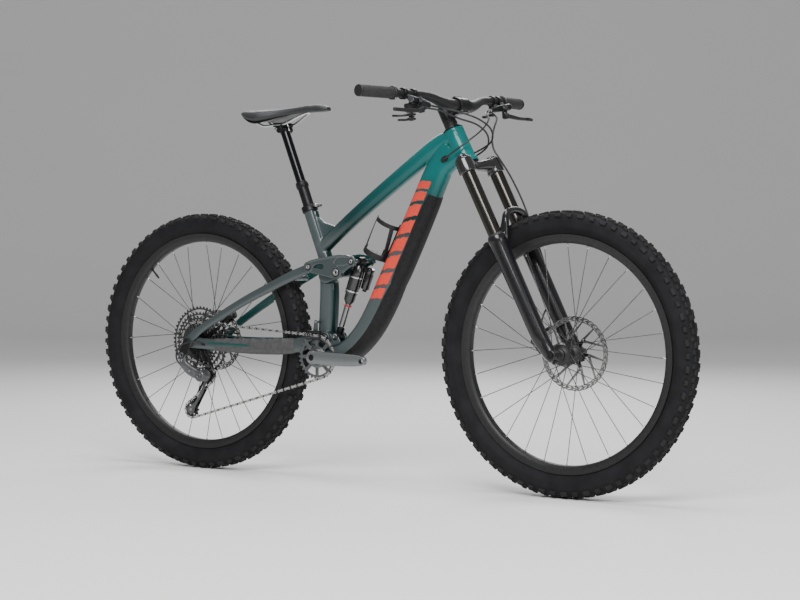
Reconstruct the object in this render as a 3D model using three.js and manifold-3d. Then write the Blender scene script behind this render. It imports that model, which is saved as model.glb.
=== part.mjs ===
// Full-suspension mountain bike, 29-inch wheels.
// Millimetres. +X is the way the bike rides, +Y is its left side, +Z is up.
// The origin is on the ground, half way between the axles, in the centre plane.
import * as THREE from "three";
import { mergeVertices } from "three/addons/utils/BufferGeometryUtils.js";
import Module from "manifold-3d";

const wasm = await Module();
wasm.setup();

// ---------------------------------------------------------------- driving dimensions

const GAP = 0.3; // what touching pieces keep between them
const WHEELBASE = 1222;
const FRONT_TYRE_R = 380;
const REAR_TYRE_R = 376;
const FRONT_TYRE_W = 63;
const REAR_TYRE_W = 60;
const RIM_FLANGE_R = 317.5;
const RIM_INNER_R = 293;
const RIM_W = 35;
const SPOKES = 28;
const RIM_SEGMENTS = 28; // one facet to a spoke, so that each spoke meets a corner

const FRONT_AXLE = new THREE.Vector3(WHEELBASE / 2, 0, FRONT_TYRE_R);
const REAR_AXLE = new THREE.Vector3(-WHEELBASE / 2, 0, REAR_TYRE_R);
const FRONT_HUB_HALF = 55;
const REAR_HUB_HALF = 74;

const HEAD_LEAN = THREE.MathUtils.degToRad(27); // 63 degree head angle
const FORK_OFFSET = 44;
const HEAD_BOTTOM = 589; // along the steering axis, from the front axle's foot on it
const HEAD_TOP = 694;
const LEG_Y = 72;
const LEG_N = 30; // the legs' axes lie this far ahead of the steering axis
const STANCHION_R = 19;
const FORK_TRAVEL = 160;
const SEAL_S = 355;
// The stanchions' feet stay above the bottom of the legs when the fork is all the way in.
const STANCHION_FOOT = FORK_TRAVEL + 40;
const CROWN_S = 544;
const FRONT_AXLE_R = 7.5;

const SEAT_LEAN = THREE.MathUtils.degToRad(21.5);
const SEAT_TOP = new THREE.Vector3(-230, 0, 771); // seat tube's top, on its axis
const POST_R = 15.8;
const POST_INNER_R = 13.5;
const DROPPER_TRAVEL = 150;
const COLLAR_TOP = 76;

const BB = new THREE.Vector3(-165, 0, 347);
const BB_HALF = 46;
const SPINDLE_R = 14.6;
const CRANK_LENGTH = 175;

const MAIN_PIVOT = new THREE.Vector3(-148, 0, 402);
const ROCKER_PIVOT = new THREE.Vector3(-102, 0, 587);
const STAY_PIVOT = new THREE.Vector3(-198, 0, 601);
const SHOCK_TOP = new THREE.Vector3(-50, 0, 618);
const SHOCK_FOOT = new THREE.Vector3(-126, 0, 405);
const PIVOT_R = 6;
const REAR_AXLE_R = 6;

const CHAIN_PITCH = 12.7;
const CHAINRING_TEETH = 30;
const COG_TEETH = [11, 13, 15, 17, 19, 22, 25, 28, 32, 36, 42, 50];
const CHAIN_COG = 7; // the chain lies on this cog, counted from the smallest
const COG_FIRST_Y = -64;
const COG_STEP = 3.65;
const JOCKEY_TEETH = 12;
const CHAIN_FRONT_Y = -52;
const CHAIN_REAR_Y = COG_FIRST_Y + CHAIN_COG * COG_STEP;
const CHAIN_HALF_W = 2.5;
const CHAIN_HALF_H = 3.7;
const JOCKEY_UPPER = new THREE.Vector3(-570, CHAIN_REAR_Y, 278);
const JOCKEY_LOWER = new THREE.Vector3(-632, CHAIN_REAR_Y, 174);
const HANGER = new THREE.Vector3(-628, 0, 338);

const STEM_S = 742; // handlebar clamp height along the steering axis
const STEM_LENGTH = 48;
const BAR_R = 17.5;
const GRIP_BAR_R = 11.1;
const GRIP_R = 16;

// ---------------------------------------------------------------- materials

const finish = (color, roughness, metalness) =>
  new THREE.MeshStandardMaterial({ color, roughness, metalness });
const TEAL = finish(0x0f8f8a, 0.25, 0.2);
const GREEN_GREY = finish(0x33403f, 0.45, 0.3);
const BLACK_METAL = finish(0x16171a, 0.4, 0.6);
const BLACK_PLASTIC = finish(0x1b1c1e, 0.6, 0);
const RUBBER = finish(0x202123, 0.85, 0);
const STEEL = finish(0xb9babd, 0.28, 1);
const GREY_METAL = finish(0x6f7478, 0.35, 0.8);
const SADDLE_SKIN = finish(0x2a2b2e, 0.6, 0);

// ---------------------------------------------------------------- solids from three.js shapes

const Y_AXIS = new THREE.Vector3(0, 1, 0);
const V = (x, y, z) => new THREE.Vector3(x, y, z);
const at = (p, y) => V(p.x, y, p.z);

// A three.js geometry as a solid whose faces point out.
function solid(geometry) {
  const bare = geometry.clone();
  for (const name of ["normal", "uv"]) bare.deleteAttribute(name);
  const merged = mergeVertices(bare, 1e-4);
  const make = (triVerts) =>
    new wasm.Manifold(
      new wasm.Mesh({
        numProp: 3,
        vertProperties: merged.attributes.position.array,
        triVerts,
      }),
    );
  const triangles = new Uint32Array(merged.index.array);
  const made = make(triangles);
  return made.volume() < 0 ? make(triangles.reverse()) : made;
}

const join = (...solids) => solids.reduce((a, b) => a.add(b));
const cut = (body, ...tools) => tools.reduce((a, b) => a.subtract(b), body);

// A solid moved by a three.js matrix.
function moved(body, matrix) {
  return solid(geometryOf(body).applyMatrix4(matrix));
}

function geometryOf(body) {
  const mesh = body.getMesh();
  const positions = new Float32Array(mesh.numVert * 3);
  for (let i = 0; i < mesh.numVert; i++) {
    const from = i * mesh.numProp;
    positions.set(mesh.vertProperties.subarray(from, from + 3), i * 3);
  }
  const geometry = new THREE.BufferGeometry();
  geometry.setAttribute("position", new THREE.BufferAttribute(positions, 3));
  geometry.setIndex(new THREE.BufferAttribute(mesh.triVerts, 1));
  return geometry;
}

// A round rod or cone between two points.
function rod(from, to, r, rTo = r, sides = 12) {
  const geometry = new THREE.CylinderGeometry(rTo, r, from.distanceTo(to), sides);
  const turn = new THREE.Quaternion().setFromUnitVectors(
    Y_AXIS,
    to.clone().sub(from).normalize(),
  );
  geometry.applyQuaternion(turn);
  const middle = from.clone().add(to).multiplyScalar(0.5);
  geometry.translate(middle.x, middle.y, middle.z);
  return solid(geometry);
}

// A rod across the bike at point p, from y0 to y1.
const pin = (p, y0, y1, r, sides = 12) => rod(at(p, y0), at(p, y1), r, r, sides);

function box(x0, x1, y0, y1, z0, z1) {
  const geometry = new THREE.BoxGeometry(x1 - x0, y1 - y0, z1 - z0);
  geometry.translate((x0 + x1) / 2, (y0 + y1) / 2, (z0 + z1) / 2);
  return solid(geometry);
}

// A ring or disc about an axis along Y through p; the profile is [radius, y] pairs.
function turned(profile, p, segments = 24) {
  const points = profile.map(([r, y]) => new THREE.Vector2(r, y));
  const geometry = new THREE.LatheGeometry(points, segments);
  geometry.translate(p.x, 0, p.z);
  return solid(geometry);
}

// A tube with bore, between two heights of the local Z axis.
function sleeve(x, y, z0, z1, rOuter, rInner, segments = 20, rOuterTop = rOuter) {
  const points = [
    [rInner, z0],
    [rOuter, z0],
    [rOuterTop, z1],
    [rInner, z1],
    [rInner, z0],
  ].map(([r, h]) => new THREE.Vector2(r, h));
  const geometry = new THREE.LatheGeometry(points, segments);
  geometry.rotateX(Math.PI / 2);
  geometry.translate(x, y, 0);
  return solid(geometry);
}

// A flat plate in the XZ plane between y0 and y1.
function plate(shape, y0, y1, curveSegments = 3) {
  const geometry = new THREE.ExtrudeGeometry(shape, {
    depth: y1 - y0,
    bevelEnabled: false,
    curveSegments,
  });
  geometry.rotateX(Math.PI / 2);
  geometry.translate(0, y1, 0);
  return solid(geometry);
}

// The outline round two discs, as a belt lies round two pulleys.
function linkShape(p, rp, q, rq) {
  const base = Math.atan2(q.z - p.z, q.x - p.x);
  const distance = Math.hypot(q.z - p.z, q.x - p.x);
  const a = Math.acos((rp - rq) / distance);
  const shape = new THREE.Shape();
  shape.absarc(p.x, p.z, rp, base + a, base - a + 2 * Math.PI, false);
  shape.absarc(q.x, q.z, rq, base - a, base + a, false);
  shape.closePath();
  return shape;
}

function withHoles(shape, ...holes) {
  for (const [p, r] of holes) {
    const hole = new THREE.Path();
    hole.absarc(p.x, p.z, r, 0, 2 * Math.PI, true);
    shape.holes.push(hole);
  }
  return shape;
}

// A closed surface through rings of equal point count.
function loft(rings) {
  const count = rings[0].length;
  const positions = rings.flat().flatMap((v) => [v.x, v.y, v.z]);
  const index = [];
  for (let r = 0; r + 1 < rings.length; r++)
    for (let i = 0; i < count; i++) {
      const a = r * count + i;
      const b = r * count + ((i + 1) % count);
      index.push(a, b, a + count, b, b + count, a + count);
    }
  const last = (rings.length - 1) * count;
  for (let i = 1; i + 1 < count; i++) {
    index.push(0, i + 1, i);
    index.push(last, last + i, last + i + 1);
  }
  const geometry = new THREE.BufferGeometry();
  geometry.setAttribute("position", new THREE.Float32BufferAttribute(positions, 3));
  geometry.setIndex(index);
  return solid(geometry);
}

// A tube of changing oval section. Each section is [x, y, z, half height, half width];
// the height lies in the centre plane, the width is across the bike.
function ovalTube(sections, sides = 14, squareness = 1) {
  const centres = sections.map(([x, y, z]) => V(x, y, z));
  return loft(
    sections.map(([, , , half, width], i) => {
      const before = centres[Math.max(i - 1, 0)];
      const after = centres[Math.min(i + 1, centres.length - 1)];
      const along = after.clone().sub(before).normalize();
      const across = Y_AXIS.clone().addScaledVector(along, -along.y).normalize();
      const up = along.clone().cross(across);
      return Array.from({ length: sides }, (_, k) => {
        const angle = ((k + 0.5) / sides) * 2 * Math.PI;
        const c = Math.cos(angle);
        const s = Math.sin(angle);
        return centres[i]
          .clone()
          .addScaledVector(up, half * Math.sign(c) * Math.abs(c) ** squareness)
          .addScaledVector(across, width * Math.sign(s) * Math.abs(s) ** squareness);
      });
    }),
  );
}

// A round tube of one radius along a smooth curve through points.
function bentTube(points, r, steps, sides = 8) {
  const section = new THREE.Shape();
  for (let i = 0; i < sides; i++) {
    const angle = (i / sides) * 2 * Math.PI;
    const x = r * Math.cos(angle);
    const y = r * Math.sin(angle);
    if (i === 0) section.moveTo(x, y);
    else section.lineTo(x, y);
  }
  section.closePath();
  const path = new THREE.CatmullRomCurve3(points, false, "centripetal");
  return solid(new THREE.ExtrudeGeometry(section, { extrudePath: path, steps }));
}

const mirrored = (points) => points.map((p) => V(p.x, -p.y, p.z));
const mirroredSections = (sections) => sections.map(([x, y, ...rest]) => [x, -y, ...rest]);

// ---------------------------------------------------------------- the scene graph

const bike = new THREE.Group();

// Steering frame: local X is ahead of the axis, local Z runs up it.
const steering = new THREE.Group();
steering.rotation.y = -HEAD_LEAN;
steering.position
  .set(FRONT_AXLE.x, 0, FRONT_AXLE.z)
  .add(V(-FORK_OFFSET * Math.cos(HEAD_LEAN), 0, -FORK_OFFSET * Math.sin(HEAD_LEAN)));
bike.add(steering);
steering.updateMatrixWorld(true);

// Seat frame: local Z runs up the seat tube's axis from its top.
const seat = new THREE.Group();
seat.rotation.y = -SEAT_LEAN;
seat.position.copy(SEAT_TOP);
bike.add(seat);
seat.updateMatrixWorld(true);

function piece(name, body, material, group = bike) {
  const geometry = geometryOf(body);
  geometry.computeVertexNormals();
  const mesh = new THREE.Mesh(geometry, material);
  mesh.name = name;
  group.add(mesh);
}

// ---------------------------------------------------------------- front frame

function headTube() {
  const middle = (HEAD_BOTTOM + HEAD_TOP) / 2;
  const profile = [
    [0, HEAD_BOTTOM],
    [32, HEAD_BOTTOM],
    [32, HEAD_BOTTOM + 10],
    [28, middle],
    [28, HEAD_TOP - 8],
    [28.5, HEAD_TOP],
    [0, HEAD_TOP],
  ].map(([r, s]) => new THREE.Vector2(r, s));
  const geometry = new THREE.LatheGeometry(profile, 16);
  geometry.rotateX(Math.PI / 2);
  return moved(solid(geometry), steering.matrixWorld);
}

function headBores() {
  const bore = rod(V(0, 0, HEAD_BOTTOM - 5), V(0, 0, HEAD_TOP + 5), 21, 21, 20);
  const lowerSeat = rod(
    V(0, 0, HEAD_BOTTOM - 5),
    V(0, 0, HEAD_BOTTOM + 8),
    26.2,
    26.2,
    20,
  );
  const stemRoom = rod(V(0, 0, HEAD_TOP), V(0, 0, HEAD_TOP + 40), 29, 29, 20);
  return moved(join(bore, lowerSeat, stemRoom), steering.matrixWorld);
}

const topTube = () =>
  ovalTube(
    [
      [262, 0, 955, 20, 25],
      [238, 0, 953, 22, 25],
      [200, 0, 930, 25, 26],
      [163, 0, 906, 24, 25],
      [96, 0, 860, 23, 24],
      [-5, 0, 789, 22, 22],
      [-92, 0, 725, 21, 20],
      [-160, 0, 670, 20, 19],
      [-178, 0, 652, 16, 16],
    ],
    10,
    0.85,
  );

const downTube = () =>
  ovalTube(
    [
      [254, 0, 932, 32, 25],
      [232, 0, 905, 34, 26],
      [205, 0, 858, 38, 28],
      [172, 0, 791, 39, 30],
      [118, 0, 682, 40, 32],
      [58, 0, 565, 40, 33],
      [10, 0, 475, 38, 34],
      [-32, 0, 415, 35, 36],
      [-85, 0, 368, 32, 39],
      [-150, 0, 345, 29, 42],
    ],
    10,
    0.8,
  );

// The web under the head tube, along the down tube's lower edge.
const headWeb = () =>
  ovalTube(
    [
      [222, 0, 868, 24, 24],
      [250, 0, 891, 24, 25],
      [283, 0, 912, 24, 26],
    ],
    10,
    0.85,
  );

// The web between the seat tube's top and the top tube, as the side view shows it.
const SEAT_WEB = [
  [-206, 761],
  [-202, 761],
  [-196, 743],
  [-176, 727],
  [-141, 718],
  [-126, 706],
  [-165, 672],
  [-192, 690],
];
function seatWeb() {
  const shape = new THREE.Shape(SEAT_WEB.map(([x, z]) => new THREE.Vector2(x, z)));
  return plate(shape, -8, 8);
}

function seatTube() {
  const upper = rod(V(0, 0, -178), V(0, 0, 0), 19.5, 19.5, 16);
  const lower = ovalTube(
    [
      [-176, 0, 640, 19, 18],
      [-163, 0, 590, 24, 22],
      [-158, 0, 540, 27, 24],
      [-160, 0, 470, 27, 25],
      [-163, 0, 420, 26, 26],
      [-165, 0, 385, 25, 26.5],
      [-166, 0, 350, 22, 34],
    ],
    10,
    0.85,
  );
  return join(moved(upper, seat.matrixWorld), lower, seatWeb());
}

// The lugs that carry the rocker, the swingarm and the shock's foot.
function frameLugs() {
  const rockerLug = plate(linkShape(V(-152, 0, 578), 24, ROCKER_PIVOT, 16), -32, 32);
  const pivotLug = pin(MAIN_PIVOT, -27.5, 27.5, 16);
  const shellLug = plate(linkShape(BB, 28, MAIN_PIVOT, 15), -27, 27);
  const foot = V(-112, 0, 368);
  const ears = [-1, 1].map((side) => {
    const shape = linkShape(foot, 16, SHOCK_FOOT, 11);
    return side < 0 ? plate(shape, -22, -13.5) : plate(shape, 13.5, 22);
  });
  const eyeRoom = pin(SHOCK_FOOT, -13.3, 13.3, 12.8);
  const shockPin = pin(SHOCK_FOOT, -22, 22, 5);
  return [join(rockerLug, pivotLug, shellLug, ...ears), eyeRoom, shockPin];
}

function frontFrame() {
  const shell = pin(BB, -BB_HALF, BB_HALF, 30, 16);
  const [lugs, eyeRoom, shockPin] = frameLugs();
  const tubes = join(
    headTube(),
    headWeb(),
    topTube(),
    downTube(),
    seatTube(),
    shell,
    lugs,
  );
  const seatBore = rod(V(0, 0, -176), V(0, 0, 5), POST_R + GAP, POST_R + GAP, 20);
  return cut(
    join(cut(tubes, eyeRoom), shockPin),
    headBores(),
    moved(seatBore, seat.matrixWorld),
    pin(BB, -60, 60, 20.5, 20),
    pin(MAIN_PIVOT, -60, 60, PIVOT_R + GAP),
    pin(ROCKER_PIVOT, -60, 60, PIVOT_R + GAP),
  );
}

piece("front_frame", frontFrame(), TEAL);
const LOWER_BEARING = [HEAD_BOTTOM + 0.5, HEAD_BOTTOM + 7.6, 25.7, 20.3];
const UPPER_BEARING = [HEAD_TOP - 8, HEAD_TOP - 0.5, 20.6, 14.7];
piece("headset_bearing_lower", sleeve(0, 0, ...LOWER_BEARING), STEEL, steering);
piece("headset_bearing_upper", sleeve(0, 0, ...UPPER_BEARING), STEEL, steering);
piece("main_pivot_axle", pin(MAIN_PIVOT, -43, 43, PIVOT_R), STEEL);
piece("rocker_axle", pin(ROCKER_PIVOT, -51, 51, PIVOT_R), STEEL);

function bottomBracket() {
  const profile = [
    [SPINDLE_R + GAP, -50],
    [23, -50],
    [23, -BB_HALF - GAP],
    [20.2, -BB_HALF - GAP],
    [20.2, BB_HALF + GAP],
    [23, BB_HALF + GAP],
    [23, 50],
    [SPINDLE_R + GAP, 50],
    [SPINDLE_R + GAP, -50],
  ];
  return turned(profile, BB, 20);
}
piece("bottom_bracket", bottomBracket(), BLACK_METAL);

// The guide hangs over the chain where it meets the chainring.
function chainGuide() {
  const top = box(-196, -152, -59, -45, 417, 422);
  const outer = box(-196, -152, -59, -57, 396, 417.5);
  const inner = box(-190, -160, -47, -45, 402, 417.5);
  const stalk = box(-178, -166, -47, -44, 417, 452);
  const foot = box(-178, -166, -47, -25.5, 443, 452);
  return join(top, outer, inner, stalk, foot);
}
piece("chain_guide", chainGuide(), BLACK_PLASTIC);

// ---------------------------------------------------------------- bottle cage

// Cage frame: local X points from the down tube to the bottle, local Z down the tube.
const cage = new THREE.Group();
const TUBE_LEAN = THREE.MathUtils.degToRad(27.6); // the down tube, from upright
cage.rotation.y = TUBE_LEAN - Math.PI;
cage.position.set(82, 0, 701);
bike.add(cage);

function bottleCage() {
  const wall = 4;
  const bottleR = 36.5;
  const middle = 4 + bottleR;
  const band = (z0, z1) => sleeve(middle, 0, z0, z1, bottleR + wall - 1, bottleR, 16);
  const spine = box(1, 5, -11, 11, -22, 100);
  const cup = rod(V(middle, 0, 94), V(middle, 0, 100), bottleR + 1);
  const cheeks = [-1, 1].map((side) => {
    const y0 = side < 0 ? -bottleR - 3 : bottleR + 0.5;
    return box(middle - 12, middle + 10, y0, y0 + 2.5, -12, 80);
  });
  return join(spine, cup, band(72, 100), band(-14, 2), ...cheeks);
}
piece("bottle_cage", bottleCage(), BLACK_PLASTIC, cage);

// ---------------------------------------------------------------- seat post and saddle

function seatClamp() {
  const ring = sleeve(0, 0, -15, 3, 23, 19.8);
  const lip = sleeve(0, 0, 0.4, 3, 23, POST_R + GAP);
  const lug = box(21, 34, -8, 8, -12, -1);
  const bolt = rod(V(30, -16, -6.5), V(30, 16, -6.5), 4.5, 4.5, 12);
  return join(ring, lip, lug, bolt);
}
piece("seat_clamp", seatClamp(), BLACK_METAL, seat);

function dropperOuter() {
  const tube = sleeve(0, 0, -170, COLLAR_TOP - 18, POST_R, POST_INNER_R + GAP);
  const collar = sleeve(0, 0, COLLAR_TOP - 18, COLLAR_TOP, 18.5, POST_INNER_R + GAP, 20, 17);
  return join(tube, collar);
}
piece("dropper_outer", dropperOuter(), BLACK_METAL, seat);

const RAIL_Y = 22;
const RAIL_R = 3.5;
const CRADLE_S = 246;
// The neck stays just above the collar when the post is all the way down.
const NECK_S = COLLAR_TOP + DROPPER_TRAVEL + 1.5;
function dropperInner() {
  const tube = rod(V(0, 0, 4), V(0, 0, CRADLE_S - 8), POST_INNER_R, POST_INNER_R, 20);
  const neck = rod(V(0, 0, NECK_S), V(0, 0, CRADLE_S - 6), 15, 16, 20);
  const barrel = rod(V(0, -29, CRADLE_S - 8), V(0, 29, CRADLE_S - 8), 10.4, 10.4, 12);
  return join(tube, neck, barrel);
}
piece("dropper_inner", dropperInner(), BLACK_METAL, seat);

const CRADLE = V(0, 0, CRADLE_S + 7).applyMatrix4(seat.matrixWorld);

function saddleRails() {
  const z = CRADLE.z;
  const half = [
    V(-402, 29, z + 14),
    V(-387, 28, z + 3),
    V(-370, 25, z - 3),
    V(-345, RAIL_Y, z - 1.5),
    V(-305, RAIL_Y, z + 1),
    V(-284, 21, z + 8),
    V(-260, 16, z + 20),
    V(-238, 8, z + 30),
    V(-228, 0, z + 33),
  ];
  const points = [...half, ...mirrored(half.slice(0, -1)).reverse()];
  const rail = bentTube(points, RAIL_R, 34, 6);
  const rear = [29, -29].map((y) => V(-401, y, z + 13));
  const bar = rod(rear[0], rear[1], 3, 3, 6);
  return join(rail, bar);
}
piece("saddle_rails", saddleRails(), STEEL);

// Saddle sections run from tail to nose: [x, half width, underside z, top z].
const SADDLE_SECTIONS = [
  [-455, 22, 1034, 1047],
  [-440, 45, 1028, 1049],
  [-418, 59, 1016, 1050],
  [-394, 67, 1006, 1050],
  [-372, 67, 1003, 1051],
  [-350, 59, 1008, 1051],
  [-312, 40, 1019, 1053],
  [-267, 26, 1028, 1057],
  [-220, 20, 1033, 1061],
  [-182, 17, 1034, 1060],
  [-160, 11, 1039, 1054],
];
function saddleRings(inset, drop) {
  return SADDLE_SECTIONS.map(([x, half, low, high]) => {
    const middle = (low + high) / 2 - drop;
    return Array.from({ length: 12 }, (_, k) => {
      const angle = ((k + 0.5) / 12) * 2 * Math.PI;
      const c = Math.cos(angle);
      const y = (half - inset) * Math.sign(c) * Math.abs(c) ** 0.7;
      return V(x, y, middle + ((high - low) / 2) * Math.sin(angle));
    });
  });
}

// The shell is hollow underneath, where the rails' ends lie.
function saddle() {
  const hollow = saddleRings(6, 8).slice(1, -1);
  return cut(loft(saddleRings(0, 0)), loft(hollow));
}
piece("saddle", saddle(), SADDLE_SKIN);

// ---------------------------------------------------------------- fork

function steererUnit() {
  const steerer = join(
    rod(V(0, 0, 570), V(0, 0, 606), 19.9, 19.9, 20),
    rod(V(0, 0, 606), V(0, 0, 640), 19.9, 14.3, 20),
    rod(V(0, 0, 640), V(0, 0, STEM_S + 17), 14.3, 14.3, 20),
  );
  const race = rod(V(0, 0, 566), V(0, 0, HEAD_BOTTOM - 1), 27, 27);
  const bridge = loft(
    [-66, -40, 0, 40, 66].map((y) => {
      const t = Math.abs(y) / 66;
      const middle = 30 * t ** 1.3;
      const low = 560 - 12 * t;
      const corners = [
        [middle - 23, low],
        [middle + 24, low],
        [middle + 24, HEAD_BOTTOM - 8],
        [middle + 12, HEAD_BOTTOM - 3],
        [middle - 12, HEAD_BOTTOM - 3],
        [middle - 23, HEAD_BOTTOM - 8],
      ];
      return corners.map(([n, s]) => V(n, y, s));
    }),
  );
  const legs = [-LEG_Y, LEG_Y].map((y) =>
    join(
      rod(V(LEG_N, y, CROWN_S), V(LEG_N, y, HEAD_BOTTOM - 1), 24.5, 23.5),
      rod(V(LEG_N, y, STANCHION_FOOT), V(LEG_N, y, HEAD_BOTTOM + 3), STANCHION_R),
    ),
  );
  return join(steerer, race, bridge, ...legs);
}
piece("crown_and_stanchions", steererUnit(), BLACK_METAL, steering);

function forkLeg(side) {
  const y = side * LEG_Y;
  const lean = (s) => LEG_N + (60 - s) / 6; // the foot of the leg bends ahead to the axle
  const leg = ovalTube(
    [
      [LEG_N, y, SEAL_S, 25.5, 25.5],
      [LEG_N, y, SEAL_S - 12, 25.5, 25.5],
      [LEG_N, y, SEAL_S - 40, 24, 24],
      [LEG_N, y, 70, 23, 22],
      [lean(36), side * 73, 36, 21, 17],
      [lean(4), side * 73, 4, 19, 16],
      [lean(-14), side * 73, -14, 13, 14],
    ],
    12,
  );
  const dropout = rod(
    V(FORK_OFFSET, side * (FRONT_HUB_HALF + GAP), 0),
    V(FORK_OFFSET, side * 88, 0),
    15,
  );
  return join(leg, dropout);
}

function forkArch() {
  const half = [
    [34, 58, 328, 17, 10.5],
    [48, 60, 352, 15, 10],
    [66, 57, 384, 10, 9],
    [70, 44, 403, 10, 8.5],
    [72, 22, 411, 10, 8.5],
    [72, 0, 413, 10, 8.5],
  ].map(([x, y, z, a, b]) => ({ p: V(x, y, z), a, b }));
  const all = [
    ...half,
    ...half
      .slice(0, -1)
      .reverse()
      .map(({ p, a, b }) => ({ p: V(p.x, -p.y, p.z), a, b })),
  ];
  const rings = all.map(({ p, a, b }, i) => {
    const before = all[Math.max(i - 1, 0)].p;
    const after = all[Math.min(i + 1, all.length - 1)].p;
    const along = after.clone().sub(before).normalize();
    const out = V(1, 0, 0).addScaledVector(along, -along.x).normalize();
    const over = along.clone().cross(out);
    return Array.from({ length: 8 }, (_, k) => {
      const angle = ((k + 0.5) / 8) * 2 * Math.PI;
      return p
        .clone()
        .addScaledVector(out, a * Math.cos(angle))
        .addScaledVector(over, b * Math.sin(angle));
    });
  });
  return loft(rings);
}

function forkLowers() {
  const stanchionRoom = [-LEG_Y, LEG_Y].map((y) =>
    rod(V(LEG_N, y, 30), V(LEG_N, y, SEAL_S + 60), STANCHION_R + GAP, STANCHION_R + GAP),
  );
  const room = rod(
    V(FORK_OFFSET, -100, 0),
    V(FORK_OFFSET, 100, 0),
    FRONT_AXLE_R + GAP,
  );
  const hubRoom = rod(
    V(FORK_OFFSET, -FRONT_HUB_HALF - GAP, 0),
    V(FORK_OFFSET, FRONT_HUB_HALF + GAP, 0),
    34,
  );
  const body = join(forkLeg(-1), forkLeg(1), forkArch());
  return cut(body, ...stanchionRoom, hubRoom, room);
}
piece("fork_lowers", forkLowers(), BLACK_METAL, steering);

function frontAxle() {
  const shaft = rod(V(FORK_OFFSET, -91, 0), V(FORK_OFFSET, 92, 0), FRONT_AXLE_R);
  const head = rod(V(FORK_OFFSET, 90.6, 0), V(FORK_OFFSET, 94, 0), 11);
  return join(shaft, head);
}
piece("front_axle", frontAxle(), BLACK_METAL, steering);

const FRONT_ROTOR_Y = 44.5;
const REAR_ROTOR_Y = 55;
const ROTOR_SLOT = 1.7;

// A caliper straddles its rotor; q is its middle on the rotor's rim.
function caliper(q, rotorY, turn) {
  const halves = join(
    box(-26, 26, -17, 17, -17, 17),
    box(-20, 20, -20, -14, -12, 12),
    box(-31, 31, 5, 13, 9, 17),
  );
  const slot = box(-40, 40, -ROTOR_SLOT, ROTOR_SLOT, -30, 11);
  const matrix = new THREE.Matrix4()
    .makeTranslation(q.x, rotorY, q.z)
    .multiply(new THREE.Matrix4().makeRotationY(turn));
  return moved(cut(halves, slot), matrix);
}

function frontCaliper() {
  const middle = V(-38, 0, 66);
  const body = caliper(middle, FRONT_ROTOR_Y, THREE.MathUtils.degToRad(-48));
  const legRoom = rod(V(LEG_N, LEG_Y, 0), V(LEG_N, LEG_Y, 200), 25);
  const arms = [40, 92].map((s) => box(-34, 6.5, 56, 66, s, s + 10));
  return cut(join(body, ...arms), legRoom);
}
piece("front_caliper", frontCaliper(), BLACK_METAL, steering);

// ---------------------------------------------------------------- cockpit

// Room for the bar in the stem and its faceplate.
const clampRoom = () =>
  rod(V(STEM_LENGTH, -60, STEM_S), V(STEM_LENGTH, 60, STEM_S), BAR_R + 2 * GAP, BAR_R + 2 * GAP, 16);

function stem() {
  const bore = 14.3 + GAP;
  const column = [
    [bore, HEAD_TOP + 1],
    [27, HEAD_TOP + 1],
    [19, HEAD_TOP + 9],
    [18, STEM_S - 20],
    [19, STEM_S - 18],
    [19, STEM_S + 20],
    [bore, STEM_S + 20],
    [bore, HEAD_TOP + 1],
  ].map(([radius, height]) => new THREE.Vector2(radius, height));
  const tube = new THREE.LatheGeometry(column, 20);
  tube.rotateX(Math.PI / 2);
  const extension = ovalTube(
    [
      [16, 0, STEM_S, 17, 15],
      [30, 0, STEM_S, 17, 19],
      [STEM_LENGTH - 8, 0, STEM_S, 21, 25],
    ],
    10,
  );
  const face = box(STEM_LENGTH - 12, STEM_LENGTH - 0.5, -26, 26, STEM_S - 24, STEM_S + 24);
  const steererRoom = rod(V(0, 0, 600), V(0, 0, 900), bore, bore, 20);
  return join(solid(tube), cut(join(extension, face), clampRoom(), steererRoom));
}
piece("stem", stem(), BLACK_METAL, steering);

function faceplate() {
  const shell = rod(V(STEM_LENGTH, -26, STEM_S), V(STEM_LENGTH, 26, STEM_S), 23);
  const ears = box(STEM_LENGTH + 0.5, STEM_LENGTH + 12, -26, 26, STEM_S - 24, STEM_S + 24);
  const behind = box(-20, STEM_LENGTH + 0.5, -40, 40, STEM_S - 40, STEM_S + 40);
  return cut(join(shell, ears), behind, clampRoom());
}
piece("stem_faceplate", faceplate(), BLACK_METAL, steering);

function topCap() {
  const disc = rod(V(0, 0, STEM_S + 20.3), V(0, 0, STEM_S + 24), 17.5, 16, 24);
  const plug = rod(V(0, 0, STEM_S + 17.5), V(0, 0, STEM_S + 21), 8, 8, 12);
  return join(disc, plug);
}
piece("top_cap", topCap(), BLACK_METAL, steering);

const BAR_CENTRE = V(STEM_LENGTH, 0, STEM_S).applyMatrix4(steering.matrixWorld);
// The left half of the bar as [x, y, z, radius], from its middle to its end.
const BAR_HALF = [
  [0, 0, 0, BAR_R],
  [0, 42, 0, BAR_R],
  [-1, 60, 1, 16.6],
  [-5, 92, 8, 14.2],
  [-12, 128, 18, 12],
  [-18, 165, 22, GRIP_BAR_R],
  [-28, 240, 23, GRIP_BAR_R],
  [-52, 403, 24, GRIP_BAR_R],
];
function handlebar() {
  const half = BAR_HALF.map(([x, y, z, r]) => [
    BAR_CENTRE.x + x,
    y,
    BAR_CENTRE.z + z,
    r,
  ]);
  const all = [...mirroredSections(half.slice(1)).reverse(), ...half];
  return loft(
    all.map(([x, y, z, r]) =>
      Array.from({ length: 12 }, (_, k) => {
        const angle = (k / 12) * 2 * Math.PI;
        return V(x + r * Math.cos(angle), y, z + r * Math.sin(angle));
      }),
    ),
  );
}
piece("handlebar", handlebar(), BLACK_METAL);

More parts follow.
